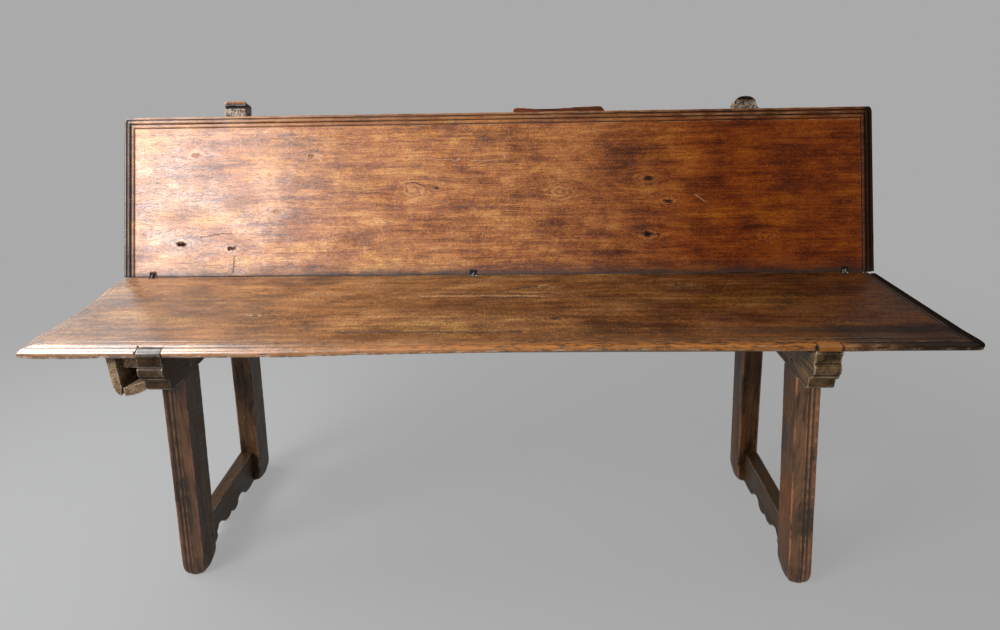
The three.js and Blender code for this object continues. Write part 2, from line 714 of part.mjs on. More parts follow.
// A batten's face with a dome on two hollow shoulders.
function domed(x, half, low, top) {
  const hollow = half - domeWidth / 2;
  const neck = top - domeHeight;
  const shoulder = [];
  for (let step = 0; step < shoulderSteps; step += 1) {
    const angle = Math.PI / 2 * step / shoulderSteps;
    shoulder.push([half - hollow * Math.sin(angle), neck - shoulderHeight * Math.cos(angle)]);
  }
  const dome = [];
  for (let step = 0; step <= domeSteps; step += 1) {
    const angle = Math.PI * step / domeSteps;
    dome.push([x + domeWidth / 2 * Math.cos(angle), neck + domeHeight * Math.sin(angle)]);
  }
  return [
    [x - half, low], [x + half, low],
    ...shoulder.map(([reach, z]) => [x + reach, z]),
    ...dome,
    ...shoulder.map(([reach, z]) => [x - reach, z]).reverse(),
  ];
}

function buildBack(parent) {
  const back = new THREE.Group();
  back.position.set(0, foldY, foldZ);
  back.rotation.x = -recline;
  parent.add(back);

  const end = backLength / 2;
  const front = foldGap;
  const rear = foldGap + backThickness;
  const edge = backMouldingShares.map(([inset, depth]) => [inset * backMoulding, front + depth * backMouldingDrop]);
  const upright = [
    [front, foldGap], [rear, foldGap], [rear, backHeight - backEase], [rear - backEase, backHeight],
    ...edge.map(([inset, depth]) => [depth, backHeight - inset]),
  ];
  const plan = [
    ...edge.map(([inset, depth]) => [inset - end, depth]).reverse(),
    [-end, rear - backEase], [backEase - end, rear], [end - backEase, rear], [end, rear - backEase],
    ...edge.map(([inset, depth]) => [end - inset, depth]),
  ];
  let board = overlap(
    alongX(upright, backShift - end - overrun, backShift + end + overrun),
    alongZ(shift(plan, backShift, 0), foldGap, backHeight + overrun),
  );
  board = cut(board, ...buildBattens(back, rear + fitGap), ...buildGrip(back));
  for (const x of Object.values(hingeXs)) {
    const origin = new THREE.Vector3(x, 0, 0);
    const slotHalf = eyeReach + eyeSlack;
    const slot = new THREE.BoxGeometry(2 * slotHalf, 2 * slotHalf + eyeRadius, 2 * (wireRadius + eyeSlack));
    slot.translate(0, slotHalf + eyeRadius / 2, 0);
    slot.rotateX(shankAngle);
    slot.translate(x, 0, 0);
    board = cut(board, ...hingeCuts(origin, shankDirection(1)), slot);
  }
  addPiece(back, 'back_board', board, finishes.backWood);
  buildBackEyes(back);
}

const bench = new THREE.Group();
buildSeat(bench);
buildSeatEyes(bench);
buildTrestle(bench, 'left', -1);
buildTrestle(bench, 'right', 1);
buildPocket(bench);
buildPocketNails(bench);
addPiece(bench, 'pocket_floor_nail', toSolid(pocketFloorNail(0)), finishes.iron);
buildBack(bench);

// The origin is on the floor under the middle of the whole bench.
bench.updateMatrixWorld(true);
const extent = new THREE.Box3().setFromObject(bench, true);
bench.position.set(-(extent.min.x + extent.max.x) / 2, -(extent.min.y + extent.max.y) / 2, 0);
bench.updateMatrixWorld(true);

export default bench;
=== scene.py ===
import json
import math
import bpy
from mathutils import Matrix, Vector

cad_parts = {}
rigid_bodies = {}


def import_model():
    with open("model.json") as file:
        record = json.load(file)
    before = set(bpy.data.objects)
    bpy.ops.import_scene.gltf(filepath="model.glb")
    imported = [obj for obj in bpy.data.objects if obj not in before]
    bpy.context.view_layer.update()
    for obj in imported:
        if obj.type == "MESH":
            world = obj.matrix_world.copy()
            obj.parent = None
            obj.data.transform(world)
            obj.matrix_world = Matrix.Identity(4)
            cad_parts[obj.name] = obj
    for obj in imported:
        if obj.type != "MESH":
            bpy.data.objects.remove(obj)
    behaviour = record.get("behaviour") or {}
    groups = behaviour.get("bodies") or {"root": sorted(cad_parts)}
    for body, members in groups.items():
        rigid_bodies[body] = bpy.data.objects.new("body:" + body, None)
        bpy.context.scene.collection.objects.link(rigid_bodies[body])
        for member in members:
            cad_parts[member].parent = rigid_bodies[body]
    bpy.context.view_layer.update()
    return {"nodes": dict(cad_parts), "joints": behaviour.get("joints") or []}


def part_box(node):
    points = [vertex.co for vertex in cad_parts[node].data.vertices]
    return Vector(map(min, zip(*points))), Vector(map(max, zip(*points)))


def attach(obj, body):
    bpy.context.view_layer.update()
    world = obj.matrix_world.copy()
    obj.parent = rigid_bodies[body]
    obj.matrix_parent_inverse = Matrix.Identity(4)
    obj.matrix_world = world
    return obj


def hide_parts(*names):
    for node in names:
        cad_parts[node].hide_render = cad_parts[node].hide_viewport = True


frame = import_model()

# %% [markdown]
# # An old walnut bench with a folding back
# The bench has two moulded planks, one for the seat and one for the back. Two trestles of splayed
# legs carry them, and wire hinges let the back fold forward onto the seat. The solids are loaded
# already. This lesson dresses them: it gives each piece the wear of two hundred years of use,
# and each wood its own grain.

# %% Measure the solids that were loaded
from types import SimpleNamespace

import bmesh
import bpy
import numpy as np
from mathutils import Matrix, Vector, noise

MM = 0.001
nodes = frame["nodes"]
hinge = frame["joints"][0]

# %% [markdown]
# ## The camera
# The picture is taken from a little above the bench and right of its middle, with a short lens
# close by. That makes the seat's front edge look much longer than its rear edge. The camera is
# placed from the seat's front edge, so that it stays right if the solids move.

# %% Place the camera
seat_low, seat_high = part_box("seat_board")
camera_data = bpy.data.cameras.new("picture_camera")
camera_data.sensor_width = 36.0
camera_data.lens = 24.365
camera = bpy.data.objects.new("picture_camera", camera_data)
bpy.context.scene.collection.objects.link(camera)
pitch, yaw, roll = math.radians(21.797), math.radians(-2.0111), math.radians(-1.1053)
camera.matrix_world = (
    Matrix.Translation((0.0604, seat_low.y - 0.9711, 0.9418))
    @ Matrix.Rotation(-yaw, 4, "Z")
    @ Matrix.Rotation(math.pi / 2 - pitch, 4, "X")
    @ Matrix.Rotation(roll, 4, "Z")
)
bpy.context.scene.camera = camera
print("Camera at", [round(v, 3) for v in camera.matrix_world.translation])

# %% [markdown]
# ## Working with one piece at a time
# Blender's tools act on all that is selected, so each step starts by selecting only its own piece.
# Moving thousands of points by a rule is quicker in arrays, so two helpers take a mesh's points
# out and put them back.

# %% Helpers for one piece
def take(piece):
    bpy.ops.object.select_all(action="DESELECT")
    piece.select_set(True)
    bpy.context.view_layer.objects.active = piece


def apply_modifiers(piece):
    take(piece)
    for modifier in list(piece.modifiers):
        bpy.ops.object.modifier_apply(modifier=modifier.name)


def points_of(piece):
    flat = np.empty(len(piece.data.vertices) * 3)
    piece.data.vertices.foreach_get("co", flat)
    return flat.reshape(-1, 3)


def put_points(piece, points):
    piece.data.vertices.foreach_set("co", np.ascontiguousarray(points).reshape(-1))
    piece.data.update()


def normals_of(piece):
    flat = np.empty(len(piece.data.vertices) * 3, dtype=np.float32)
    piece.data.vertex_normals.foreach_get("vector", flat)
    return flat.reshape(-1, 3)


def mark(piece, name, values):
    layer = piece.data.attributes.new(name, "FLOAT", "POINT")
    layer.data.foreach_set("value", np.ascontiguousarray(values, dtype=np.float32))


def rough(points, fineness, seed):
    """Soft random heights from -1 to 1 at each point. Fineness is how many bumps go in a metre."""
    shift = Vector((seed, 2 * seed, 3 * seed))
    return np.array([noise.noise(Vector(point) * fineness + shift) for point in points])


# %% [markdown]
# ## Ridges and hollows
# Old wood is pale and shiny where hands and cloth rub it, and dark where dirt stays. Both follow
# the shape. If a mesh's points are moved to the mean of their neighbours, a ridge sinks and
# a hollow rises, and how far tells the material where to polish and where to leave dirt.

# %% Mark the ridges and hollows of a mesh
def mark_relief(piece, rounds, full):
    points = points_of(piece)
    ends = np.empty(len(piece.data.edges) * 2, dtype=np.int32)
    piece.data.edges.foreach_get("vertices", ends)
    first, second = ends.reshape(-1, 2).T
    neighbours = np.bincount(ends, minlength=len(points))[:, None]
    smooth = points.copy()
    for _ in range(rounds):
        total = np.empty_like(points)
        for axis in range(3):
            total[:, axis] = np.bincount(first, smooth[second, axis], len(points))
            total[:, axis] += np.bincount(second, smooth[first, axis], len(points))
        smooth = (smooth + total / neighbours) / 2
    relief = ((points - smooth) * normals_of(piece)).sum(axis=1)
    mark(piece, "ridge", np.clip(relief / full, 0, 1))
    mark(piece, "hollow", np.clip(-relief / full, 0, 1))


# %% [markdown]
# ## A plank made of cells
# The seat and the back are the same kind of piece: a plank with a moulding along one long edge and
# both ends. A cutter could be swept round the edge, but the real mouldings were cut by hand and
# have since worn, and so they change along the way. A block that is cut into narrow cells near the
# edges, and wide ones in the middle, can follow any such shape. The block starts as a cube, and the
# subdivide tool cuts it in each direction. Then each point's cell numbers say how far it is from
# the plank's edges.

# %% Cut a block into cells
EDGE_CELLS = 32
REAR_CELLS = 4
PLANK_CUTS = ((20, 22), (8, 9), (6,))


def cut_cells(block, axis, count):
    bpy.ops.mesh.select_mode(type="EDGE")
    bpy.ops.mesh.select_all(action="DESELECT")
    cells = bmesh.from_edit_mesh(block.data)
    for edge in cells.edges:
        way = edge.verts[1].co - edge.verts[0].co
        edge.select = abs(way[axis]) > 0.9 * way.length
    bmesh.update_edit_mesh(block.data)
    bpy.ops.mesh.subdivide(number_cuts=count - 1)


def block_of_cells(name, cuts):
    bpy.ops.object.select_all(action="DESELECT")
    bpy.ops.mesh.primitive_cube_add(size=1.0, location=(0.5, 0.5, 0.5))
    block = bpy.context.object
    block.name = name
    bpy.ops.object.transform_apply(location=True, rotation=False, scale=False)
    bpy.ops.object.mode_set(mode="EDIT")
    for axis, counts in enumerate(cuts):
        for count in counts:
            cut_cells(block, axis, count)
    bpy.ops.object.mode_set(mode="OBJECT")
    totals = [math.prod(counts) for counts in cuts]
    numbers = np.rint(points_of(block) * totals).astype(int)
    print(name, "has cells:", totals, "and", len(numbers), "points")
    return block, numbers, totals


def plank_places(numbers, totals, width, band, start):
    """Each point's distance from the left end, the right end and the moulded edge, in metres."""
    column, row, level = numbers.T
    on_face = (level == 0) | (level == totals[2])
    edge = np.linspace(0, band, EDGE_CELLS + 1)
    eased = start + edge * (band - start) / band
    beyond = totals[0]

    def from_end(cells):
        near = np.minimum(cells, EDGE_CELLS)
        distance = np.where(on_face, eased[near], edge[near])
        return np.where(cells <= EDGE_CELLS, distance, beyond)

    left = from_end(column)
    right = from_end(totals[0] - column)
    middle_rows = totals[1] - EDGE_CELLS - REAR_CELLS
    rear_band = REAR_CELLS * MM
    deep = np.concatenate((
        np.linspace(band, width - rear_band, middle_rows + 1)[1:],
        np.linspace(width - rear_band, width, REAR_CELLS + 1)[1:],
    ))
    front = np.where(on_face, np.concatenate((eased, deep))[row], np.concatenate((edge, deep))[row])
    share = (column - EDGE_CELLS) / (totals[0] - 2 * EDGE_CELLS)
    return left, right, front, share


def spread_along(left, right, share, low, high, band):
    """The place along the plank of each point, between the two ends of its own row."""
    middle = low + band + share * (high - low - 2 * band)
    along = np.where(share < 0, low + left, middle)
    return np.where(share > 1, high - right, along)


# %% [markdown]
# ## The seat plank
# The seat's left end isn't square, because the plank flares towards the rear. Its front lip is thick
# at the left and thin further right, as hand work leaves it, and the lower corner of the lip is
# chipped from end to end. These places were measured on the picture, in millimetres. On the right
# the moulding is still crisp, with two deep grooves. On the left, where people slid off the seat,
# wear has rolled it into one soft slope. So there are two profiles, and a third line says how much
# of the moulding is left at each place along the seat. A texture could only paint the lip, but its
# wave shows in the bench's outline, and so the points themselves are moved.

# %% The seat's measured lines
seat_left_end = (
    (0, 17), (6, 15.5), (22, 17), (43, 14.5), (90, 18), (150, 19), (234, 12), (298, 0),
    (358.5, -2.5),
)
lip_top_line = (
    (-780, 491.6), (-612, 491.3), (-372, 490.3), (-212, 494.2), (22, 497.2), (178, 499.3),
    (780, 499.2),
)
lip_foot_line = (
    (-780, 482.4), (-690, 481.0), (-626, 482.2), (-310, 482.8), (-215, 486.0), (-57, 488.7),
    (100, 491.1), (260, 492.0), (340, 490.7), (576, 488.6), (655, 490.5), (780, 490.0),
)
seat_moulding_line = (
    (0, 0), (1.4, 0), (8.4, 0.16), (10.6, -0.1), (12.9, -0.06), (15.1, 0.3),
    (19, 0.68), (23.5, 0.86), (26.3, 0.76), (28, 1),
)
rolled_lip_line = (
    (0, 0), (1.2, 0.04), (3, 0.26), (6, 0.48), (10, 0.66), (15, 0.8), (22, 0.92), (30, 1),
)
moulding_left = (
    (-780, 0.15), (-560, 0.2), (-300, 0.15), (0, 0.2), (300, 0.5), (560, 0.9), (780, 1),
)
seat_grooves = ((11.5, 2.0), (25.5, 1.4))
SEAT_BAND = 32 * MM
END_LIP_TOP = 496.5 * MM
END_LIP_FOOT = 487.7 * MM
print("Places measured along the lip's foot:", len(lip_foot_line))


# %% Read the lines, the chips and the moulding
def line_at(value, line):
    """The height of a measured line at a place. Both are in metres, and the line in millimetres."""
    places, heights = np.array(line).T
    return np.interp(value, places * MM, heights * MM)


def share_at(value, line):
    """The share from 0 to 1 that a line gives at a place. The place is in metres."""
    places, heights = np.array(line).T
    return np.interp(value, places * MM, heights)


def chip_depth(points):
    """How much is chipped off the lip at each place along the seat, from 0 to about 1."""
    points = points * (1, 0, 0)
    large = np.clip(rough(points, 38, 11) - 0.05, 0, 1)
    small = np.clip(rough(points, 150, 13), 0, 1)
    return 1.3 * large + 0.6 * small


def moulding_rise(x, inset):
    """How far the top has risen from the lip to the seat's face, from 0 to 1."""
    kept = share_at(x, moulding_left)
    crisp = share_at(inset, seat_moulding_line)
    return crisp * kept + share_at(inset, rolled_lip_line) * (1 - kept)


# %% Place the seat's cells
seat_plank, numbers, totals = block_of_cells("seat_plank", PLANK_CUTS)
seat_width = seat_high.y - seat_low.y
left, right, front, share = plank_places(numbers, totals, seat_width, SEAT_BAND, 1.2 * MM)
corner = 30 * MM
wear = 1 - np.sqrt(1 - np.clip(1 - front / corner, 0, 1) ** 2)
low_end = seat_low.x + line_at(front, seat_left_end)
high_end = seat_high.x - 7 * MM * wear
x = spread_along(left, right, share, low_end, high_end, SEAT_BAND)
y = seat_low.y + front + 0.45 * MM * (front > seat_width - 0.1 * MM)
level = numbers[:, 2] / totals[2]
flat = np.stack((x, y, 0 * x), axis=1)
print("The seat is", round(seat_width, 4), "m deep")

# %% The lip's height all round the seat
side = np.minimum(left, right)
inset = np.minimum(side, front)
towards_front = np.clip((side - front) / (8 * MM) + 0.5, 0, 1)
end_share = np.clip(front / (60 * MM), 0, 1)
lip_top = line_at(x, lip_top_line)
end_top = lip_top + (END_LIP_TOP - lip_top) * end_share
lip_top = end_top + (lip_top - end_top) * towards_front
lip_foot = line_at(x, lip_foot_line)
end_foot = lip_foot + (END_LIP_FOOT - lip_foot) * end_share
lip_foot = end_foot + (lip_foot - end_foot) * towards_front
print("The lip's top is between", lip_top.min().round(4), "and", lip_top.max().round(4))

# %% The seat's top and underside
wave = rough(flat, 9, 3)
dents = rough(flat, 60, 7)
kept = share_at(x, moulding_left)
top = lip_top + moulding_rise(x, inset) * (seat_high.z - lip_top)
for groove, groove_depth in seat_grooves:
    top -= groove_depth * MM * kept * np.exp(-((inset / MM - groove) / 1.5) ** 2)
top -= (0.35 + 0.3 * wave + 0.12 * dents) * MM * np.clip(inset / (8 * MM), 0.3, 1)
rear_ease = np.clip(1 - (seat_width - front) / (3 * MM), 0, 1)
top -= 0.2 * MM * rear_ease ** 2
foot_share = np.clip(inset / SEAT_BAND, 0, 1)
foot = lip_foot - 0.5 * MM + foot_share * (seat_low.z - lip_foot + 0.5 * MM)
chips = chip_depth(flat)
at_edge = np.clip(1 - inset / (5 * MM), 0, 1)
foot += chips * 3.2 * MM * at_edge
foot += (0.3 + 0.3 * rough(flat, 14, 17)) * MM * foot_share
print("The deepest chip is", round(3.2 * chips.max(), 1), "mm")

# %% Round the lip and move the seat's points
belly = (1 - (2 * level - 1) ** 2) ** 0.5
round_top = lip_top - 1.2 * MM
round_foot = lip_foot + 1.2 * MM + chips * 2.6 * MM
between = round_foot + level * (round_top - round_foot)
z = np.where(level == 1, top, np.where(level == 0, foot, between))
on_side = (level > 0) & (level < 1)
push_in = (1.1 * (1 - belly) + 2.4 * chips * (1 - level) ** 2) * MM * on_side
x += np.where(left == 0, push_in, 0) - np.where(right == 0, push_in, 0)
y += np.where(front == 0, push_in, 0)
put_points(seat_plank, np.stack((x, y, z), axis=1))
seat_points = points_of(seat_plank)
print("Seat plank from", seat_points.min(axis=0).round(4), "to", seat_points.max(axis=0).round(4))

# %% [markdown]
# ## The back plank
# The back turns about the hinges, so it is shaped in its own directions: along the bench, up the
# board from the fold line, and into the board from its face. Two unit vectors turn these
# into the bench's own directions. Its moulding has two narrow ridges with deep lines between them,
# and its two top corners are worn round. It could be swept round the edge with a cutter's profile,
# but the same block of cells as for the seat lets its lines wear away here and there.

# %% The back's own directions and measured lines
fold = Vector(hinge["pos_m"])
back_low, back_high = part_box("back_board")
recline = math.radians(22.6)
up_board = np.array((0, math.sin(recline), math.cos(recline)))
into_board = np.array((0, math.cos(recline), -math.sin(recline)))
back_moulding_line = (
    (0, 0.9), (1.1, 0.6), (4.6, 0.55), (5.9, 1), (7.6, 0.6), (10.8, 0.25), (13.5, 0.45),
    (15.1, 0.95), (16.7, 0.4), (20, 0.08), (23, 0.25), (24.3, 0.6), (26, 0),
)
BACK_BAND = 28 * MM
BACK_GAP = 0.6 * MM
BACK_FOOT = 0.15 * MM
BACK_TOP = 338 * MM
BACK_THICKNESS = 26 * MM
print("The back folds about", [round(v, 4) for v in fold])

# %% Shape the back
back_plank, numbers, totals = block_of_cells("back_plank", PLANK_CUTS)
board_height = BACK_TOP - BACK_FOOT
left, right, down, share = plank_places(numbers, totals, board_height, BACK_BAND, 0.1 * MM)
corner = 12 * MM
wear = 8 * MM * (1 - np.sqrt(1 - np.clip(1 - down / corner, 0, 1) ** 2))
along = spread_along(left, right, share, back_low.x + wear, back_high.x - wear, BACK_BAND)
level = numbers[:, 2] / totals[2]
flat = np.stack((along, down, level * 0.02), axis=1)
inset = np.minimum(np.minimum(left, right), down)
wave = rough(flat, 8, 21)
dents = rough(flat, 55, 23)
worn_lines = 1 - 0.35 * np.clip(rough(flat, 12, 25), 0, 1)
face = BACK_GAP + 5 * MM * share_at(inset, back_moulding_line) * worn_lines
face += (0.35 + 0.3 * wave + 0.12 * dents) * MM * np.clip(inset / (6 * MM), 0.5, 1)
face += 0.2 * MM * np.clip(1 - (board_height - down) / (3 * MM), 0, 1) ** 2
rear = BACK_GAP + BACK_THICKNESS - 3 * MM * np.clip(1 - inset / (3 * MM), 0, 1)
rear -= (0.3 + 0.3 * rough(flat, 16, 27)) * MM
depth = rear + level * (face - rear)
edge_wear = (0.35 + 0.35 * rough(flat, 30, 29)) * MM
along += np.where(left < 0.2 * MM, edge_wear, 0) - np.where(right < 0.2 * MM, edge_wear, 0)
up = BACK_TOP - down - np.where(down < 0.2 * MM, edge_wear, 0)
place = np.array(fold)[None, :] * (0, 1, 1) + up[:, None] * up_board + depth[:, None] * into_board
place[:, 0] = along
put_points(back_plank, place)
print("Back plank from", place.min(axis=0).round(4), "to", place.max(axis=0).round(4))

# %% [markdown]
# ## Cutting the joints
# The bearers' dovetails slide into the seat from below, and the battens' into the back. A Boolean
# takes the loaded solid of the other piece out of the plank, so that the joint fits by itself. The
# seat also needs an open notch above each dovetail's head, and both planks need round hollows for
# the hinges' eyes. The planks' normals are made to point out first.

# %% Tools that cut a plank
HOLLOW_RADIUS = 6.4 * MM
HOLLOW_WIDTH = 12.8 * MM


def merged_copy(name, node):
    """A new piece with the mesh of a solid, whose loose triangles are merged into one shell."""
    piece = bpy.data.objects.new(name, nodes[node].data.copy())
    bpy.context.scene.collection.objects.link(piece)
    shell = bmesh.new()
    shell.from_mesh(piece.data)
    bmesh.ops.remove_doubles(shell, verts=shell.verts, dist=0.01 * MM)
    shell.to_mesh(piece.data)
    shell.free()
    piece.data.materials.clear()
    return piece


def turn_outwards(piece):
    take(piece)
    bpy.ops.object.mode_set(mode="EDIT")
    bpy.ops.mesh.select_all(action="SELECT")
    bpy.ops.mesh.normals_make_consistent(inside=False)
    bpy.ops.object.mode_set(mode="OBJECT")


def cut_away(piece, cutter):
    take(piece)
    cut = piece.modifiers.new("cut", "BOOLEAN")
    cut.operation = "DIFFERENCE"
    cut.solver = "MANIFOLD"
    cut.object = cutter
    bpy.ops.object.modifier_apply(modifier=cut.name)
    bpy.data.objects.remove(cutter)


def notch(low, high):
    bpy.ops.object.select_all(action="DESELECT")
    middle = (Vector(low) + Vector(high)) / 2
    bpy.ops.mesh.primitive_cube_add(size=1.0, location=middle)
    bpy.ops.transform.resize(value=Vector(high) - Vector(low))
    bpy.ops.object.transform_apply(location=True, rotation=True, scale=True)
    return bpy.context.object


def eye_hollow(x):
    bpy.ops.object.select_all(action="DESELECT")
    bpy.ops.mesh.primitive_cylinder_add(
        vertices=48, radius=HOLLOW_RADIUS, depth=HOLLOW_WIDTH,
        location=(x, fold.y, fold.z), rotation=(0, math.pi / 2, 0),
    )
    bpy.ops.object.transform_apply(location=True, rotation=True, scale=True)
    return bpy.context.object


def middle_of(node):
    low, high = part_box(node)
    return (low + high) / 2


# %% Cut the notches, grooves and hollows
HEAD_HALF = 21.3 * MM
HEAD_REACH = 15.3 * MM
NOTCH_SPARE = 9 * MM
HINGES = ("left", "middle", "right")
for plank in (seat_plank, back_plank):
    turn_outwards(plank)
for side in ("left", "right"):
    middle = middle_of(f"{side}_bearer").x
    cut_away(seat_plank, notch(
        (middle - HEAD_HALF, seat_low.y - NOTCH_SPARE, seat_low.z - NOTCH_SPARE),
        (middle + HEAD_HALF, seat_low.y + HEAD_REACH, seat_high.z + NOTCH_SPARE),
    ))
    cut_away(seat_plank, merged_copy("bearer_cutter", f"{side}_bearer"))
    cut_away(back_plank, merged_copy("batten_cutter", f"{side}_back_batten"))
for place in HINGES:
    for plank in (seat_plank, back_plank):
        cut_away(plank, eye_hollow(middle_of(f"{place}_seat_hinge_eye").x))
print("Faces after the cuts:", len(seat_plank.data.polygons), len(back_plank.data.polygons))

# %% [markdown]
# ## Marks for the planks' finish
# A finish has to know where it is on the plank: near an edge, on the lip, on a chipped corner, or on
# a side that was never waxed, which are the seat's underside and the back's rear. The finish could
# work that out from the place on the wood, but the edges are wavy. So each point carries a few
# numbers from 0 to 1, which are called attributes, and the finish reads them by name. Faces are
# shaded smooth unless they meet at a sharp angle.

# %% Mark the planks' edges, lips and bare sides
def shade(piece, degrees):
    take(piece)
    bpy.ops.object.shade_smooth_by_angle(angle=math.radians(degrees))


def finish_piece(piece, body, slot, *solids):
    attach(piece, body)
    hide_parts(*solids)


x, y, z = points_of(seat_plank).T
from_front = y - seat_low.y
from_side = np.minimum(x - seat_low.x - line_at(from_front, seat_left_end), seat_high.x - x)
mark(seat_plank, "edge", np.clip(3.3 - np.minimum(from_front, from_side) / (12 * MM), 0, 1))
# The seat's right end is marked to be painted black, as shade where the light is weak.
mark(seat_plank, "end", np.clip(2.0 - (seat_high.x - x) / (14 * MM), 0, 1))
polished_lip = np.clip(3.2 - from_front / (4 * MM), 0, 1)
rubbed_front = 0.6 * np.exp(-((from_front / (32 * MM)) ** 2))
mark(seat_plank, "lip", np.maximum(polished_lip, rubbed_front))
low_on_lip = np.clip((line_at(x, lip_foot_line) + 5 * MM - z) / (4 * MM), 0, 1)
chipped = np.clip(chip_depth(points_of(seat_plank)) * 3, 0, 1)
mark(seat_plank, "chip", chipped * low_on_lip * (from_front < 6 * MM))
x = points_of(back_plank)[:, 0]
from_top = BACK_TOP - (points_of(back_plank) - np.array(fold)) @ up_board
from_side = np.minimum(x - back_low.x, back_high.x - x)
mark(back_plank, "edge", np.clip(1.9 - np.minimum(from_top, from_side) / (15 * MM), 0, 1))
mark(back_plank, "end", np.clip(1.9 - from_side / (15 * MM), 0, 1))
mark(back_plank, "lip", 0 * x)
mark(back_plank, "chip", 0 * x)
mark(seat_plank, "bare", np.clip(-normals_of(seat_plank)[:, 2] * 3 - 1.6, 0, 1))
mark(back_plank, "bare", np.clip(normals_of(back_plank) @ into_board * 3 - 1.6, 0, 1))
for plank in (seat_plank, back_plank):
    mark_relief(plank, 8, 0.3 * MM)
    shade(plank, 50)

# %% [markdown]
# ## Dirt and painted shade
# The hollows for the hinge eyes and the notches' walls are painted dark as shade, and so is a band
# along the fold between seat and back. The moulding's grooves, the foot of the lip on the left, a
# broad band behind the lip on the right and the seat's right front corner are darkened too. The
# finish already darkens hollows, so each of these places is marked as a hollow too, even where the
# wood is flat. Then the planks are tied to their bodies.

# %% Leave dirt and painted shade on the planks
def mark_dirty(piece, amounts):
    """Darken a plank's points, as if they lay in a hollow; at some places this is painted shade."""
    layer = piece.data.attributes["hollow"]
    values = np.empty(len(piece.data.vertices), dtype=np.float32)
    layer.data.foreach_get("value", values)
    layer.data.foreach_set("value", np.maximum(values, amounts).astype(np.float32))


def strip(distance, middle, width):
    """A soft strip: 1 at its middle and near 0 beyond its width. All are in millimetres."""
    return np.exp(-((distance - middle) / width) ** 2)


# The hinge eyes' hollows are painted dark as shade.
for plank in (seat_plank, back_plank):
    x, y, z = points_of(plank).T
    for place in HINGES:
        near_x = abs(x - middle_of(f"{place}_seat_hinge_eye").x) < HOLLOW_WIDTH / 2 + 0.6 * MM
        mark_dirty(plank, near_x & (np.hypot(y - fold.y, z - fold.z) < HOLLOW_RADIUS + 0.5 * MM))
x, y, z = points_of(seat_plank).T
from_front = (y - seat_low.y) / MM
# The notches' walls round each bearer's head are painted dark as shade.
for side in ("left", "right"):
    near_x = abs(x - middle_of(f"{side}_bearer").x) < HEAD_HALF + 0.4 * MM
    below = z < line_at(x, lip_top_line) - 0.5 * MM
    mark_dirty(seat_plank, near_x & below & (y - seat_low.y < HEAD_REACH + 0.4 * MM))
# Darker along the foot of the lip, on the left.
rim = np.clip((line_at(x, lip_foot_line) + 6.5 * MM - z) / (2.5 * MM), 0, 1) * (from_front < 6)
mark_dirty(seat_plank, 0.5 * rim * share_at(x, ((-620, 1), (-250, 0))))
inset = np.minimum(from_front, (seat_high.x - x) / MM)
# Darker in the moulding's grooves.
for groove, groove_width in ((11.5, 2.4), (25.0, 2.0)):
    mark_dirty(seat_plank, share_at(x, moulding_left) * strip(inset, groove, groove_width))
# Darker in a broad band behind the lip, growing to the right.
broad_band = share_at(x, ((100, 0), (450, 0.6), (680, 1)))
mark_dirty(seat_plank, 0.75 * broad_band * strip(from_front, 60, 20))
# Darker at the seat's right front corner, along the lip and the end.
mark_dirty(seat_plank, 0.6 * share_at(x, ((590, 0), (670, 1))) * (inset < 9))
# Painted shade along the fold, at the seat's rear edge.
mark_dirty(seat_plank, 0.35 * strip((seat_high.y - y) / MM, 0, 7))
x = points_of(back_plank)[:, 0]
up = (points_of(back_plank) - np.array(fold)) @ up_board / MM
# Painted shade along the fold, at the back's foot.
mark_dirty(back_plank, 0.42 * share_at(x, ((-640, 0.3), (-300, 1))) * strip(up, 0, 13))
finish_piece(seat_plank, "root", "seat_wood", "seat_board")
finish_piece(back_plank, "back", "back_wood", "back_board")
print("Points of the seat's lip:", int((inset < 9).sum()), "of", len(inset))

# %% [markdown]
# ## Weathering the joinery
# The legs, bearers, stretchers and battens keep the shape of their solids, but no edge of them is
# crisp any more. Bevelling each edge would leave them all alike. Instead a voxel remesh covers the
# piece with an even skin, smoothing rounds its edges, and two cloud textures push the skin in: one
# by slow waves, as the drawknife left them, and one by small pits. They only push inwards, and the
# points are kept within the solid's box, so a weathered piece never grows past that box.

# %% Weather a piece
FLAT_FOOT = 2.2 * MM
clouds = {}
for cloud_name, cloud_size in (("waves", 70 * MM), ("pits", 9 * MM)):
    clouds[cloud_name] = bpy.data.textures.new(cloud_name, "CLOUDS")
    clouds[cloud_name].noise_scale = cloud_size
    clouds[cloud_name].noise_depth = 2


def weather(name, node, voxel, softness, waves, pits):
    piece = merged_copy(name, node)
    skin = piece.modifiers.new("skin", "REMESH")
    skin.mode = "VOXEL"
    skin.voxel_size = voxel
    soft = piece.modifiers.new("soft_edges", "SMOOTH")
    soft.factor = 0.5
    soft.iterations = softness
    for cloud, depth in (("waves", waves), ("pits", pits)):
        push = piece.modifiers.new(cloud, "DISPLACE")
        push.texture = clouds[cloud]
        push.texture_coords = "LOCAL"
        push.mid_level = 0.0
        push.strength = -depth
    apply_modifiers(piece)
    low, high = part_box(node)
    points = np.clip(points_of(piece), low, high)
    points[:, 2] = np.where(points[:, 2] < FLAT_FOOT, 0, points[:, 2])
    put_points(piece, points)
    mark_relief(piece, 10, 0.25 * voxel)
    shade(piece, 70)
    return piece


print("Clouds that push the skin in:", list(clouds))

# %% [markdown]
# ## Feet and heads
# Two places have worn more than any texture gives. The feet stood on wet floors for centuries, so
# their lowest part narrows towards the floor, most of all at its corners. The legs' faces that look
# to the front are marked as shins, fully on the front legs and faintly on the rear ones, and the
# finish paints them paler there, partly as wear where heels rub and partly as a painted sheen. The
# bearers' heads lie open in the seat's lip and were polished together with it, so their tops follow
# the lip. For that the right head rises a little above its own solid, but it stays below the seat's
# face and so inside the bench's box.

# %% Wear the feet and the heads
FOOT_HEIGHT = 28 * MM


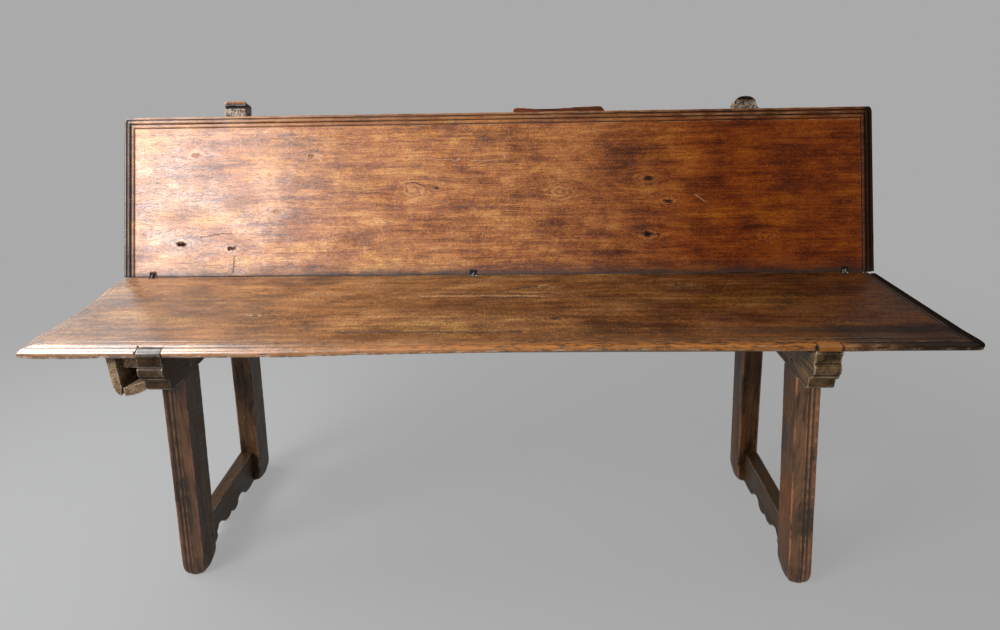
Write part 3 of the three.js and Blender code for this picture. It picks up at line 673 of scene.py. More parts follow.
def wear_foot(leg):
    """Round the lowest part of a leg towards the floor."""
    points = points_of(leg)
    low = points[:, 2] < FOOT_HEIGHT
    middle = (points[low].min(axis=0) + points[low].max(axis=0)) / 2
    half = (points[low].max(axis=0) - points[low].min(axis=0)) / 2
    worn = 1 - np.sqrt(1 - np.clip(1 - points[:, 2] / FOOT_HEIGHT, 0, 1) ** 2)
    share = (points - middle) / half
    for axis, other in ((0, 1), (1, 0)):
        push = (3 + 7 * np.clip(abs(share[:, other]), 0, 1) ** 2) * MM
        points[:, axis] -= np.where(low, worn * share[:, axis] * push, 0)
    put_points(leg, points)
    # Faces that look to the front are marked to be painted paler: heel wear, and a painted sheen.
    amount = 1.0 if "front" in leg.name else 0.2
    mark(leg, "shin", amount * np.clip(-2 * normals_of(leg)[:, 1] - 0.6, 0, 1))


def wear_head(bearer):
    """Let the head of a bearer follow the seat's lip, with which it has been worn."""
    points = points_of(bearer)
    x, y, z = points.T
    front = y - seat_low.y
    at_head = (front < HEAD_REACH) & (abs(x - x.mean()) < HEAD_HALF)
    head_top = z[at_head].max()
    lip_top = line_at(x, lip_top_line)
    worn_top = lip_top + moulding_rise(x, front) * (seat_high.z - lip_top) - 0.8 * MM
    share = np.clip(1 - (head_top - z) / (7 * MM), 0, 1) * at_head
    points[:, 2] = z + share * (worn_top - head_top)
    put_points(bearer, points)
    print(bearer.name, "head moved by", round((worn_top[at_head].mean() - head_top) / MM, 1), "mm")


# %% Make the legs, bearers, stretchers, battens and grip
for side in ("left", "right"):
    for end in ("front", "rear"):
        node = f"{side}_{end}_leg"
        leg = weather(f"{side}_{end}_old_leg", node, 1.4 * MM, 3, 1.0 * MM, 0.5 * MM)
        wear_foot(leg)
        finish_piece(leg, "root", "leg_wood", node)
    bearer = weather(f"{side}_carved_bearer", f"{side}_bearer", 1.2 * MM, 2, 0.7 * MM, 0.5 * MM)
    wear_head(bearer)
    finish_piece(bearer, "root", "leg_wood", f"{side}_bearer")
    node = f"{side}_stretcher"
    rail = weather(f"{side}_scalloped_stretcher", node, 1.5 * MM, 4, 0.8 * MM, 0.5 * MM)
    finish_piece(rail, "root", "leg_wood", node)
    node = f"{side}_back_batten"
    batten = weather(f"{side}_old_batten", node, 1.4 * MM, 3, 0.7 * MM, 0.5 * MM)
    finish_piece(batten, "back", "leg_wood", node)
grip = weather("hand_worn_grip", "lift_grip", 1.3 * MM, 5, 0.6 * MM, 0.3 * MM)
finish_piece(grip, "back", "back_wood", "lift_grip")
print("Triangles of a leg, about:", 2 * len(leg.data.polygons))

# %% [markdown]
# ## The pocket
# Three pieces of bare wood make a small pocket beside the left bearer. Worms have eaten them for
# centuries, so their pits are deep and their edges soft. The solids already have the right form, so
# they are weathered as the joinery is, with much more smoothing and deeper pits.

# %% Weather the pocket
for node in ("pocket_side", "pocket_floor", "pocket_block"):
    piece = weather(f"worn_{node}", node, 1.1 * MM, 16, 0.8 * MM, 1.6 * MM)
    finish_piece(piece, "root", "raw_wood", node)
print("Points of the last piece of the pocket:", len(piece.data.vertices))

# %% [markdown]
# ## Pegs, nails and hinge wire
# The small parts are weathered in the same way with a finer skin. The pegs are whittled, so they
# aren't quite round, and the nails and the hinge wire are forged. Modelling each by hand would give
# the same few millimetres of shape, so one loop goes through them all.

# %% Weather the small parts
for side in ("left", "right"):
    for end in ("front", "rear"):
        for kind in ("leg_peg", "stretcher_peg"):
            node = f"{side}_{end}_{kind}"
            name = f"{side}_{end}_whittled_{kind}"
            piece = weather(name, node, 0.6 * MM, 3, 0.1 * MM, 0.2 * MM)
            finish_piece(piece, "root", "peg_wood", node)
iron_pieces = [
    ("forged_pocket_nail", "pocket_long_nail", "root"),
    ("forged_floor_nail", "pocket_floor_nail", "root"),
]
for side in ("left", "right"):
    iron_pieces.append((f"{side}_forged_grip_nail", f"{side}_grip_nail", "back"))
for place in HINGES:
    iron_pieces.append((f"{place}_seat_hinge_wire", f"{place}_seat_hinge_eye", "root"))
    iron_pieces.append((f"{place}_back_hinge_wire", f"{place}_back_hinge_eye", "back"))
for name, node, body in iron_pieces:
    piece = weather(name, node, 0.45 * MM, 3, 0.05 * MM, 0.12 * MM)
    finish_piece(piece, body, "iron", node)
print("Iron pieces:", len(iron_pieces))

# %% [markdown]
# ## Mixing finishes
# A finish is a chain of nodes: a place on the wood, noises that are stretched along the grain,
# and colours picked by them. A small class keeps the chain readable. It adds one node at a time
# and gives back its output, so that each line of a finish says what it adds. The same chain could be
# drawn by hand in the shader editor, but there a change to a finish is hard to find again.

# %% A class for finishes
class Finish:
    def __init__(self, name):
        self.material = bpy.data.materials.new(name)
        self.material.use_nodes = True
        self.tree = self.material.node_tree
        self.skin = self.tree.nodes["Principled BSDF"]

    def add(self, kind, output, inputs, **settings):
        node = self.tree.nodes.new(kind)
        for key, value in settings.items():
            setattr(node, key, value)
        for key, value in inputs.items():
            self.connect(node.inputs[key], value)
        return node.outputs[output]

    def connect(self, socket, value):
        if isinstance(value, bpy.types.NodeSocket):
            self.tree.links.new(value, socket)
        else:
            socket.default_value = value

    def place(self, turn=(0, 0, 0)):
        """The place on the wood, turned so that the first number runs along the grain."""
        spot = self.add("ShaderNodeTexCoord", "Object", {})
        return self.add("ShaderNodeMapping", "Vector", {"Vector": spot, "Rotation": turn})

    def scaled(self, place, scale):
        return self.add("ShaderNodeMapping", "Vector", {"Vector": place, "Scale": scale})

    def noise(self, place, scale, detail=3.0, roughness=0.5, distortion=0.0):
        inputs = {"Vector": self.scaled(place, scale), "Scale": 1.0, "Detail": detail,
                  "Roughness": roughness, "Distortion": distortion}
        return self.add("ShaderNodeTexNoise", "Fac", inputs)

    def maths(self, how, first, second=0.0, clamp=False):
        return self.add("ShaderNodeMath", 0, {0: first, 1: second}, operation=how, use_clamp=clamp)

    def plus(self, first, second):
        return self.maths("ADD", first, second)

    def less(self, first, second):
        return self.maths("SUBTRACT", first, second)

    def times(self, first, second):
        return self.maths("MULTIPLY", first, second)

    def most(self, first, second):
        return self.maths("MAXIMUM", first, second)

    def weighted(self, parts):
        """Noises added up by weight, so that their middle stays at a half."""
        total = 0.5
        for part, weight in parts:
            total = self.plus(total, self.times(self.less(part, 0.5), weight))
        return total

    def vector(self, how, first, second):
        return self.add("ShaderNodeVectorMath", "Vector", {0: first, 1: second}, operation=how)

    def stretched(self, vector, amount):
        inputs = {0: vector, "Scale": amount}
        return self.add("ShaderNodeVectorMath", "Vector", inputs, operation="SCALE")

    def length(self, vector):
        return self.add("ShaderNodeVectorMath", "Value", {0: vector}, operation="LENGTH")

    def axis(self, place, letter):
        """One of the three numbers of a place."""
        return self.add("ShaderNodeSeparateXYZ", letter, {0: place})

    def wobble(self, place, fineness, detail, roughness, amounts):
        """A small push in a random direction, to keep lines from being straight."""
        inputs = {"Vector": place, "Scale": fineness, "Detail": detail, "Roughness": roughness}
        cloud = self.add("ShaderNodeTexNoise", "Color", inputs)
        return self.vector("MULTIPLY", self.vector("SUBTRACT", cloud, (0.5, 0.5, 0.5)), amounts)

    def span(self, value, low, high, to_low=0.0, to_high=1.0):
        """Where a value lies between two limits, eased at both ends."""
        inputs = {
            "Value": value, "From Min": low, "From Max": high, "To Min": to_low, "To Max": to_high,
        }
        return self.add("ShaderNodeMapRange", "Result", inputs, interpolation_type="SMOOTHSTEP")

    def mix(self, share, first, second, how="MIX"):
        settings = {"data_type": "RGBA", "blend_type": how, "clamp_factor": True}
        return self.add("ShaderNodeMix", 2, {0: share, 6: first, 7: second}, **settings)

    def ramp(self, value, stops):
        node = self.tree.nodes.new("ShaderNodeValToRGB")
        bar = node.color_ramp
        bar.interpolation = "EASE"
        while len(bar.elements) < len(stops):
            bar.elements.new(0.5)
        for element, (spot, colour) in zip(bar.elements, stops):
            element.position = spot
            element.color = (*colour, 1)
        self.connect(node.inputs["Fac"], value)
        return node.outputs["Color"]

    def attribute(self, name):
        return self.add("ShaderNodeAttribute", "Fac", {}, attribute_name=name)

    def bump(self, height, strength, distance, below=None):
        inputs = {"Height": height, "Strength": strength, "Distance": distance}
        if below is not None:
            inputs["Normal"] = below
        return self.add("ShaderNodeBump", "Normal", inputs)

    def use(self, **sockets):
        for name, value in sockets.items():
            self.connect(self.skin.inputs[name.replace("_", " ")], value)


# %% [markdown]
# ## Walnut
# The planks are flat-sawn walnut. Long streaks run along the grain and bend round each knot, broad
# patches are lighter and darker, and short dark pores lie along the grain. Faint rings curl round
# the knots. To bend the grain, the place itself is pushed away from each knot before the streaks are
# looked up. A picture of wood would be quicker, but it would repeat, and its knots wouldn't be
# where this bench has them.

# %% Bend the grain and find marks
def bend_round(finish, place, knots):
    """The place pushed aside by each knot, and the shares of its heart, its ring and its curl."""
    wobble = finish.wobble(place, 95.0, 5.0, 0.65, (0.026, 0.018, 0))
    heart = 0.0
    ring = 0.0
    curl = 0.0
    for along, across, size, darkness, swirl in knots:
        offset = finish.vector("SUBTRACT", place, (along * MM, across * MM, 0))
        flattened = finish.vector("MULTIPLY", finish.vector("ADD", offset, wobble), (0.55, 1, 0))
        share = finish.maths("DIVIDE", finish.length(flattened), size * MM)
        near = finish.times(finish.maths("POWER", share, 2.0), -0.16)
        near = finish.maths("EXPONENT", near)
        across_only = finish.vector("MULTIPLY", offset, (0, 0.85, 0))
        place = finish.vector("SUBTRACT", place, finish.stretched(across_only, near))
        heart = finish.most(heart, finish.span(share, 0.3, 0.75, darkness, 0.0))
        ring = finish.most(ring, finish.span(share, 0.6, 2.4, swirl, 0.0))
        waves = finish.maths("SINE", finish.times(share, 8.0))
        waves = finish.times(waves, finish.span(share, 0.4, 2.8, 0.13, 0.0))
        curl = finish.plus(curl, waves)
    return place, heart, ring, curl


def streak_mark(finish, place, start, end, width):
    """How near the place is to a line that runs from start to end."""
    start, end = Vector(start) * MM, Vector(end) * MM
    way = end - start
    offset = finish.vector("SUBTRACT", place, (start.x, start.y, 0))
    offset = finish.vector("MULTIPLY", offset, (1, 1, 0))
    unit = (*way.normalized(), 0)
    inputs = {0: offset, 1: unit}
    run = finish.add("ShaderNodeVectorMath", "Value", inputs, operation="DOT_PRODUCT")
    run = finish.maths("MINIMUM", finish.most(run, 0.0), way.length)
    gap = finish.length(finish.vector("SUBTRACT", offset, finish.stretched(unit, run)))
    return finish.span(gap, 0.0, width * MM, 1.0, 0.0)


def line_marks(finish, place, lines):
    """How near the place is to any of several lines."""
    found = 0.0
    for start, end, width in lines:
        found = finish.most(found, streak_mark(finish, place, start, end, width))
    return found


# %% The grain of clean walnut
STAIN = (0.050, 0.023, 0.014, 1)


def walnut_grain(finish, turn, tones, knots, grit):
    """Clean walnut: its place, noises and colour, which the next steps use again."""
    place = finish.place(turn)
    bent, heart, ring, curl = bend_round(finish, place, knots)
    wander = finish.noise(bent, (1.3, 7.0, 6.0), 2.0)
    figure = finish.noise(bent, (4.0, 20.0, 14.0), 5.0, 0.62, 1.2)
    streaks = finish.noise(bent, (6.0, 170.0, 120.0), 5.0, 0.7)
    fibres = finish.noise(bent, (22.0, 700.0, 500.0), 3.0, 0.7)
    turns = finish.plus(finish.times(finish.axis(bent, "Y"), 230.0), finish.times(wander, 34.0))
    rings = finish.maths("SINE", turns)
    patches = finish.noise(place, (9.0, 15.0, 9.0), 5.0, 0.68)
    speckle = finish.noise(place, grit, 3.0, 0.8)
    tone = finish.weighted((
        (figure, 0.6), (streaks, 0.75), (patches, 1.35), (fibres, 0.7), (speckle, 1.1),
    ))
    tone = finish.plus(tone, finish.plus(finish.times(rings, 0.04), curl))
    colour = finish.ramp(tone, tones)
    gold = finish.span(finish.noise(place, (4.0, 13.0, 7.0), 3.0, 0.6), 0.5, 0.68)
    colour = finish.mix(finish.times(gold, 0.8), colour, (1.25, 1.5, 1.3, 1), "MULTIPLY")
    pores = finish.span(finish.noise(bent, (70.0, 1300.0, 800.0), 1.0), 0.58, 0.68)
    dark_fleck = (*(0.4 * channel for channel in tones[0][1]), 1)
    colour = finish.mix(finish.times(pores, 0.5), colour, dark_fleck)
    stains = finish.span(finish.noise(place, (10.0, 16.0, 22.0), 5.0, 0.75), 0.56, 0.72)
    colour = finish.mix(finish.times(stains, 0.55), colour, STAIN)
    return SimpleNamespace(
        place=place, heart=heart, ring=ring, streaks=streaks, fibres=fibres, speckle=speckle,
        tone=tone, pores=pores, colour=colour,
    )


# %% [markdown]
# ## Age and painted shade on the walnut
# The wood is painted darker and redder to the right, as shade where the light is weak. The edges are
# darker, partly from old wax and partly from painted shade that grows to the right, and the ends are
# black, which on the seat's right end is painted shade. Knots and cracks are dark, dirt and painted
# shade lie in the hollows, painted shade lies along the foot of the back, and ridges are rubbed
# pale.
# Two pale marks on the seat are painted glints beside its scratches. The seat's lip is polished at
# the left, worn to a warm red brown along its middle, and chipped along its foot. Each kind of wear
# or painted shade is one colour that is laid over the wood, with a share from 0 to 1 that comes from
# a mark on the points or from a noise. Painting the wear by hand would look as good, but it would
# need a picture beside this file.

# %% Wear the walnut and paint its shade
BLACK_WAX = (0.034, 0.017, 0.008, 1)
BLACK_END = (0.016, 0.010, 0.007, 1)
KNOT_RING = (0.40, 0.25, 0.11, 1)
KNOT_HEART = (0.014, 0.009, 0.008, 1)
INSIDE_A_CRACK = (0.014, 0.009, 0.007, 1)
OLD_DIRT = (0.012, 0.008, 0.006, 1)
FOOT_DIRT = (0.030, 0.021, 0.018, 1)
RUBBED_RIDGE = (0.40, 0.20, 0.085, 1)
RUBBED_LIP = (0.47, 0.165, 0.028, 1)
FRESH_CHIP = (0.78, 0.50, 0.29, 1)
PALE_SCRATCH = (0.60, 0.37, 0.19, 1)
NEVER_WAXED = ((0.2, (0.06, 0.036, 0.022)), (0.8, (0.20, 0.125, 0.075)))


def darken_edges(finish, wood, far_tint, far_range, wax):
    """Paint shade that grows to the right, darken the edges and ends, partly as painted shade, and
    colour the knots' rings and hearts.
    """
    wood.x = finish.axis(wood.place, "X")
    # The share of painted shade, which grows to the right, where the light is weak.
    wood.far = finish.span(wood.x, *far_range)
    wood.near_share = finish.less(1.0, finish.times(wood.far, 0.75))
    wood.end = finish.attribute("end")
    wood.grime = finish.noise(wood.place, (24.0, 60.0, 30.0), 4.0, 0.65)
    # The edges are darkened, partly as old wax and partly as painted shade that grows to the right.
    near_wax, far_wax = wax
    old_wax = finish.plus(near_wax, finish.times(wood.far, far_wax - near_wax))
    old_wax = finish.times(old_wax, finish.span(wood.grime, 0.25, 0.6, 0.6, 1.0))
    old_wax = finish.times(old_wax, finish.attribute("edge"))
    ring = finish.times(wood.ring, finish.span(wood.speckle, 0.4, 0.6))
    ring = finish.times(ring, finish.times(wood.near_share, 0.5))
    # Painted shade: the wood is tinted darker and redder towards the right.
    colour = finish.mix(wood.far, wood.colour, far_tint, "MULTIPLY")
    colour = finish.mix(old_wax, colour, BLACK_WAX)
    # The ends are painted black; on the seat's right end this is painted shade.
    colour = finish.mix(finish.times(wood.end, 0.85), colour, BLACK_END)
    colour = finish.mix(ring, colour, KNOT_RING)
    wood.colour = finish.mix(wood.heart, colour, KNOT_HEART)


def wear_surface(finish, wood, cracks, scratches):
    """Add cracks, darkened hollows, which are partly painted shade, rubbed ridges, the worn lip, its
    chips, and pale scratch lines and painted glints.
    """
    wobble = finish.wobble(wood.place, 70.0, 3.0, 0.5, (0.006, 0.011, 0))
    wobbled = finish.vector("ADD", wood.place, wobble)
    wood.cleft = line_marks(finish, wobbled, cracks)
    wood.cleft = finish.times(wood.cleft, finish.span(wood.streaks, 0.3, 0.5))
    colour = finish.mix(finish.times(wood.cleft, 0.9), wood.colour, INSIDE_A_CRACK)
    # Marked hollows are darkened: dirt in the worn hollows, and painted shade in the hinge hollows,
    # on the notches' walls and along the fold.
    wood.dirt = finish.span(finish.attribute("hollow"), 0.1, 0.7)
    wood.dirt = finish.times(wood.dirt, finish.span(wood.grime, 0.2, 0.6, 0.6, 1.0))
    colour = finish.mix(finish.times(wood.dirt, 0.9), colour, OLD_DIRT)
    rub = finish.span(finish.attribute("ridge"), 0.25, 1.0)
    rub = finish.times(rub, finish.span(wood.grime, 0.4, 0.65, 0.1, 0.8))
    rub = finish.times(rub, finish.less(1.0, finish.most(wood.end, wood.dirt)))
    colour = finish.mix(rub, colour, RUBBED_RIDGE)
    lip = finish.attribute("lip")
    wood.polish = finish.times(lip, finish.span(wood.x, -0.62, -0.15, 1.0, 0.0))
    lip = finish.times(lip, finish.span(wood.x, -0.6, 0.1, 0.3, 1.0))
    lip = finish.times(lip, finish.span(wood.x, 0.52, 0.60, 1.0, 0.0))
    worn = finish.span(finish.noise(wood.place, (50.0, 220.0, 220.0), 5.0, 0.78), 0.40, 0.56)
    colour = finish.mix(finish.times(lip, finish.times(worn, 0.95)), colour, RUBBED_LIP)
    chip = finish.times(finish.attribute("chip"), finish.span(wood.speckle, 0.4, 0.52))
    chip = finish.times(chip, finish.plus(wood.near_share, 0.15))
    colour = finish.mix(chip, colour, FRESH_CHIP)
    # Pale lines: scratches, and on the seat also two painted glints.
    pale = line_marks(finish, wobbled, scratches)
    pale = finish.times(pale, finish.span(wood.speckle, 0.35, 0.55))
    wood.colour = finish.mix(finish.times(pale, 0.7), colour, PALE_SCRATCH)


def dirty_foot(finish, wood):
    """Paint shade along the lowest part of the back, where it meets the seat."""
    height = finish.axis(wood.place, "Y")
    height = finish.less(height, finish.span(wood.grime, 0.3, 0.8, 0.0, 0.014))
    foot = finish.span(height, -0.010, 0.014, 0.95, 0.0)
    foot = finish.times(foot, finish.span(wood.streaks, 0.3, 0.55, 0.55, 1.0))
    foot = finish.most(foot, finish.span(height, 0.0, 0.03, 0.35, 0.0))
    wood.colour = finish.mix(foot, wood.colour, FOOT_DIRT)
    wood.dirt = finish.most(wood.dirt, foot)


# %% [markdown]
# ## The walnut's gloss
# Polished wood is known by its gloss: long broken highlights on the planed face, and none in the
# pores, the dirt, the painted shade and the cracks. So roughness, bumps and reflection follow the
# same noises as the colour. Slow bumps stand for the plane's marks, and fine ones for fibres and
# scratches. All this could be cut into the mesh, but such small forms would need millions of faces.

# %% The whole walnut finish
def walnut_skin(finish, wood, shine, sheen):
    """The bare sides, and then gloss, bumps and reflection."""
    bare = finish.attribute("bare")
    colour = finish.mix(bare, wood.colour, finish.ramp(wood.tone, NEVER_WAXED))
    gloss = finish.noise(wood.place, (8.0, 14.0, 10.0), 5.0, 0.65)
    gloss = finish.span(gloss, 0.33, 0.66, shine, shine + 0.24)
    gloss = finish.plus(gloss, finish.times(finish.most(wood.dirt, wood.heart), 0.3))
    gloss = finish.plus(gloss, finish.span(wood.x, 0.3, 0.75, 0.0, 0.25))
    gloss = finish.maths("ADD", gloss, finish.times(bare, 0.4), clamp=True)

    planing = finish.noise(wood.place, (13.0, 30.0, 20.0), 3.0, 0.6)
    normal = finish.bump(planing, 0.6, 2.5 * MM)
    fine_lines = finish.noise(wood.place, (420.0, 14.0, 60.0), 2.0, 0.5, 1.5)
    fine_lines = finish.span(fine_lines, 0.64, 0.72)
    height = finish.plus(finish.times(wood.streaks, 0.6), finish.times(wood.fibres, 0.3))
    height = finish.plus(height, finish.times(wood.speckle, 0.45))
    height = finish.less(height, finish.times(wood.pores, 0.35))
    height = finish.less(height, finish.times(fine_lines, 0.25))
    normal = finish.bump(height, 0.5, 0.7 * MM, normal)
    scars = finish.most(finish.times(wood.heart, 0.8), wood.cleft)
    normal = finish.bump(finish.times(scars, -1.0), 0.9, 1.5 * MM, normal)

    far_end = finish.times(wood.end, wood.far)
    clean = finish.times(finish.less(1.0, wood.heart), finish.less(1.0, far_end))
    near_sheen, far_sheen = (sheen, sheen, sheen, 1), (0.12, 0.12, 0.12, 1)
    reflection = finish.times(finish.mix(wood.far, near_sheen, far_sheen), clean)
    coat = finish.plus(finish.times(reflection, 0.4), finish.times(wood.polish, 0.9))
    finish.use(
        Base_Color=colour, Roughness=gloss, Normal=normal, Specular_IOR_Level=reflection,
        Coat_Weight=coat, Coat_Roughness=0.2,
    )


def walnut(name, turn, tones, knots, grit, far_tint, far_range, wax, cracks, scratches,
           foot_dirt, shine, sheen):
    """Waxed walnut for one plank."""
    finish = Finish(name)
    wood = walnut_grain(finish, turn, tones, knots, grit)
    darken_edges(finish, wood, far_tint, far_range, wax)
    wear_surface(finish, wood, cracks, scratches)
    if foot_dirt:
        dirty_foot(finish, wood)
    walnut_skin(finish, wood, shine, sheen)
    print(name, "has", len(finish.tree.nodes), "nodes")
    return finish.material


# %% [markdown]
# ## The two planks' own walnut
# The knots and cracks are where the picture shows them, in millimetres: along the bench from its
# middle, up the board or back from the lip, and the size. A knot also has two shares, for how dark
# its heart is and how pale the ring round it. The back is a warm brown, and the seat is darker.

# %% Give the planks their walnut
back_tones = (
    (0.0, (0.045, 0.012, 0.004)), (0.28, (0.16, 0.044, 0.010)), (0.5, (0.36, 0.115, 0.025)),
    (0.72, (0.55, 0.225, 0.058)), (1.0, (0.74, 0.42, 0.16)),
)
seat_tones = (
    (0.0, (0.022, 0.008, 0.003)), (0.28, (0.077, 0.028, 0.007)), (0.5, (0.205, 0.080, 0.021)),
    (0.72, (0.370, 0.162, 0.048)), (1.0, (0.57, 0.31, 0.12)),
)
back_knots = (
    (-657, 67, 9, 1.0, 0.4), (-640, 62, 9, 0.0, 0.9), (-549, 59, 8, 0.9, 0.7),
    (-623, 256, 9, 0.35, 0.0), (-451, 134, 8, 0.25, 0.6), (-377, 251, 6, 0.5, 0.5),
    (-115, 180, 6, 0.75, 0.3), (-165, 176, 11, 0.0, 0.5), (140, 169, 9, 0.0, 0.6),
    (321, 195, 8.5, 0.95, 0.5), (362, 147, 8, 0.95, 0.5), (421, 161, 3, 0.2, 0.8),
    (320, 80, 9, 1.0, 0.6), (560, 75, 9, 0.0, 0.3),
)
seat_knots = (
    (-415, 136, 7, 0.8, 0.5), (117, 117, 8, 0.8, 0.4), (106, 279, 9, 0.5, 0.8),
    (-250, 300, 8, 0.2, 0.8), (-330, 250, 9, 0.0, 0.9), (371, 285, 13, 0.45, 0.9),
    (590, 90, 5, 0.3, 0.6), (-737, 300, 7, 0.5, 0.3),
)
back_cracks = (
    ((-615, 83), (-546, 91), 1.8), ((-541, 42), (-545, 6), 1.8),
    ((-170, 192), (-112, 184), 1.2), ((300, 83), (345, 79), 2.2),
)
back_scratches = (
    ((-176, 243), (12, 236), 1.3), ((-530, 296), (-528, 268), 1.0),
    ((-497, 300), (-496, 270), 1.0), ((-470, 305), (-447, 328), 1.3),
    ((25, 262), (26, 240), 1.0), ((417, 161), (440, 144), 1.4),
)
seat_cracks = (
    ((-94, 246), (121, 241), 6.0), ((-10, 223), (95, 221), 5.0),
    ((15, 257), (92, 285), 6.0), ((-250, 62), (60, 58), 4.0),
)
# The seat's first two pale lines are scratches; the last two, at the left, are painted glints.
seat_scratches = (
    ((-133, 233), (89, 231), 4.0), ((94, 288), (108, 293), 5.0),
    ((-300, 250), (-262, 246), 4.0), ((-430, 139), (-404, 138), 4.5),
)
back_walnut = walnut(
    "back_walnut", turn=(recline - math.pi / 2, 0, 0), tones=back_tones, knots=back_knots,
    grit=(280.0, 420.0, 320.0), far_tint=(0.46, 0.25, 0.045, 1), far_range=(-0.05, 0.5),
    wax=(0.45, 0.6), cracks=back_cracks, scratches=back_scratches, foot_dirt=True,
    shine=0.22, sheen=0.52,
)
seat_walnut = walnut(
    "seat_walnut", turn=(0, 0, 0), tones=seat_tones, knots=seat_knots,
    grit=(300.0, 95.0, 320.0), far_tint=(0.34, 0.22, 0.09, 1), far_range=(-0.42, 0.75),
    wax=(0.12, 0.9), cracks=seat_cracks, scratches=seat_scratches, foot_dirt=False,
    shine=0.24, sheen=0.85,
)


def set_origin(material, point):
    """Move a finish so that its numbers start at a point on the bench."""
    mapping = next(step for step in material.node_tree.nodes if step.type == "MAPPING")
    turned = Matrix.Rotation(mapping.inputs["Rotation"].default_value[0], 3, "X") @ Vector(point)
    mapping.inputs["Location"].default_value = -turned


set_origin(back_walnut, (0, fold.y, fold.z))
set_origin(seat_walnut, (0, seat_low.y, 0))
for plank, plank_walnut in ((seat_plank, seat_walnut), (back_plank, back_walnut)):
    plank.data.materials.clear()
    plank.data.materials.append(plank_walnut)

# %% [markdown]
# ## The joinery's dark wood
# The legs and bearers were never waxed as often as the planks. They are a dark brown with deep
# grain, and only their ridges are rubbed red; the bearers' paler ridges are partly a painted
# highlight. The grain runs along each piece, so the place is turned to suit. Each finish also has a
# tint for the left and one for the right: the right legs and bearers are painted warmer and paler
# than the left ones, as painted light where the lamps reach less. The faces marked as shins are
# painted paler, and bluer at the right, partly as heel wear and partly as a painted sheen.

# %% Dark wood for legs, bearers, stretchers and battens
DARK_DIRT = (0.014, 0.010, 0.008, 1)
PALE_SCUFF = (0.24, 0.17, 0.12, 1)
PLAIN = (1, 1, 1, 1)


def dark_wood(name, turn, dark, light, rubbed, sides=(PLAIN, PLAIN), wear=None):
    """Dark joinery wood. Wear is a function that adds a place of its own to the colour."""
    finish = Finish(name)
    place = finish.place(turn)
    figure = finish.noise(place, (3.0, 40.0, 40.0), 4.0, 0.6, 0.5)
    streaks = finish.noise(place, (12.0, 420.0, 420.0), 4.0, 0.7)
    patches = finish.noise(place, (14.0, 22.0, 22.0), 4.0, 0.6)
    tone = finish.weighted(((figure, 1.0), (streaks, 0.9), (patches, 0.8)))
    colour = finish.ramp(tone, ((0.25, dark), (0.6, light), (0.95, rubbed)))
    rub = finish.span(finish.attribute("ridge"), 0.25, 0.95)
    rub = finish.times(rub, finish.span(patches, 0.35, 0.6, 0.15, 1.0))
    colour = finish.mix(finish.times(rub, 0.8), colour, (*rubbed, 1))
    dirt = finish.span(finish.attribute("hollow"), 0.2, 0.9)
    colour = finish.mix(finish.times(dirt, 0.8), colour, DARK_DIRT)
    scuffs = finish.span(finish.noise(place, (60.0, 200.0, 200.0), 3.0, 0.7), 0.66, 0.74)
    colour = finish.mix(finish.times(scuffs, 0.5), colour, PALE_SCUFF)
    polish = 0.0
    bench_place = finish.place()
    x = finish.axis(bench_place, "X")
    if wear:
        height = finish.axis(bench_place, "Z")
        colour, polish = wear(finish, colour, x, height, patches)

    # Painted light: the pieces are tinted by how far right they stand, the right ones paler, where
    # the lamps reach less.
    left_tint, right_tint = sides
    left_colour = finish.mix(1.0, colour, left_tint, "MULTIPLY")
    right_colour = finish.mix(1.0, colour, right_tint, "MULTIPLY")
    to_right = finish.span(x, -0.5, 0.5)
    colour = finish.mix(to_right, left_colour, right_colour)
    # Faces marked as shins are painted paler, and at the right bluer: heel wear and a painted sheen.
    shin = finish.attribute("shin")
    shin_tint = finish.mix(to_right, (1.3, 1.1, 0.9, 1), (1.9, 2.2, 3.2, 1))
    colour = finish.mix(shin, colour, shin_tint, "MULTIPLY")

    gloss = finish.span(patches, 0.3, 0.7, 0.26, 0.5)
    gloss = finish.less(gloss, finish.times(rub, 0.12))
    pits = finish.noise(place, (160.0, 300.0, 300.0), 3.0, 0.7)
    height = finish.plus(finish.times(streaks, 0.7), finish.times(figure, 0.4))
    height = finish.plus(height, finish.times(pits, 0.5))
    rubbed_share = finish.most(rub, finish.times(shin, 0.4))
    reflection = finish.plus(finish.times(rubbed_share, 0.9), 0.1)
    finish.use(
        Base_Color=colour, Roughness=gloss, Normal=finish.bump(height, 0.6, 1.0 * MM),
        Specular_IOR_Level=reflection, Coat_Weight=polish, Coat_Roughness=0.2,
    )
    return finish.material


# %% [markdown]
# ## Heads of the bearers and battens
# Two kinds of piece have a head with its own look. The bearers' heads are part of the seat's lip.
# The left one is polished, and the right one is rubbed red, with a black line at each side. The
# battens' heads stand above the back. Each has a pale worn neck, a black groove over it and a
# reddish cap. These bands are picked by height, in metres above the floor.

# %% Wear on the heads
HEAD_RED = (0.17, 0.058, 0.012, 1)
HEAD_BORDER = (0.008, 0.005, 0.004, 1)
PALE_NECK = (0.36, 0.30, 0.24, 1)
NECK_GROOVE = (0.008, 0.006, 0.005, 1)
CAP_RED = (0.30, 0.12, 0.045, 1)


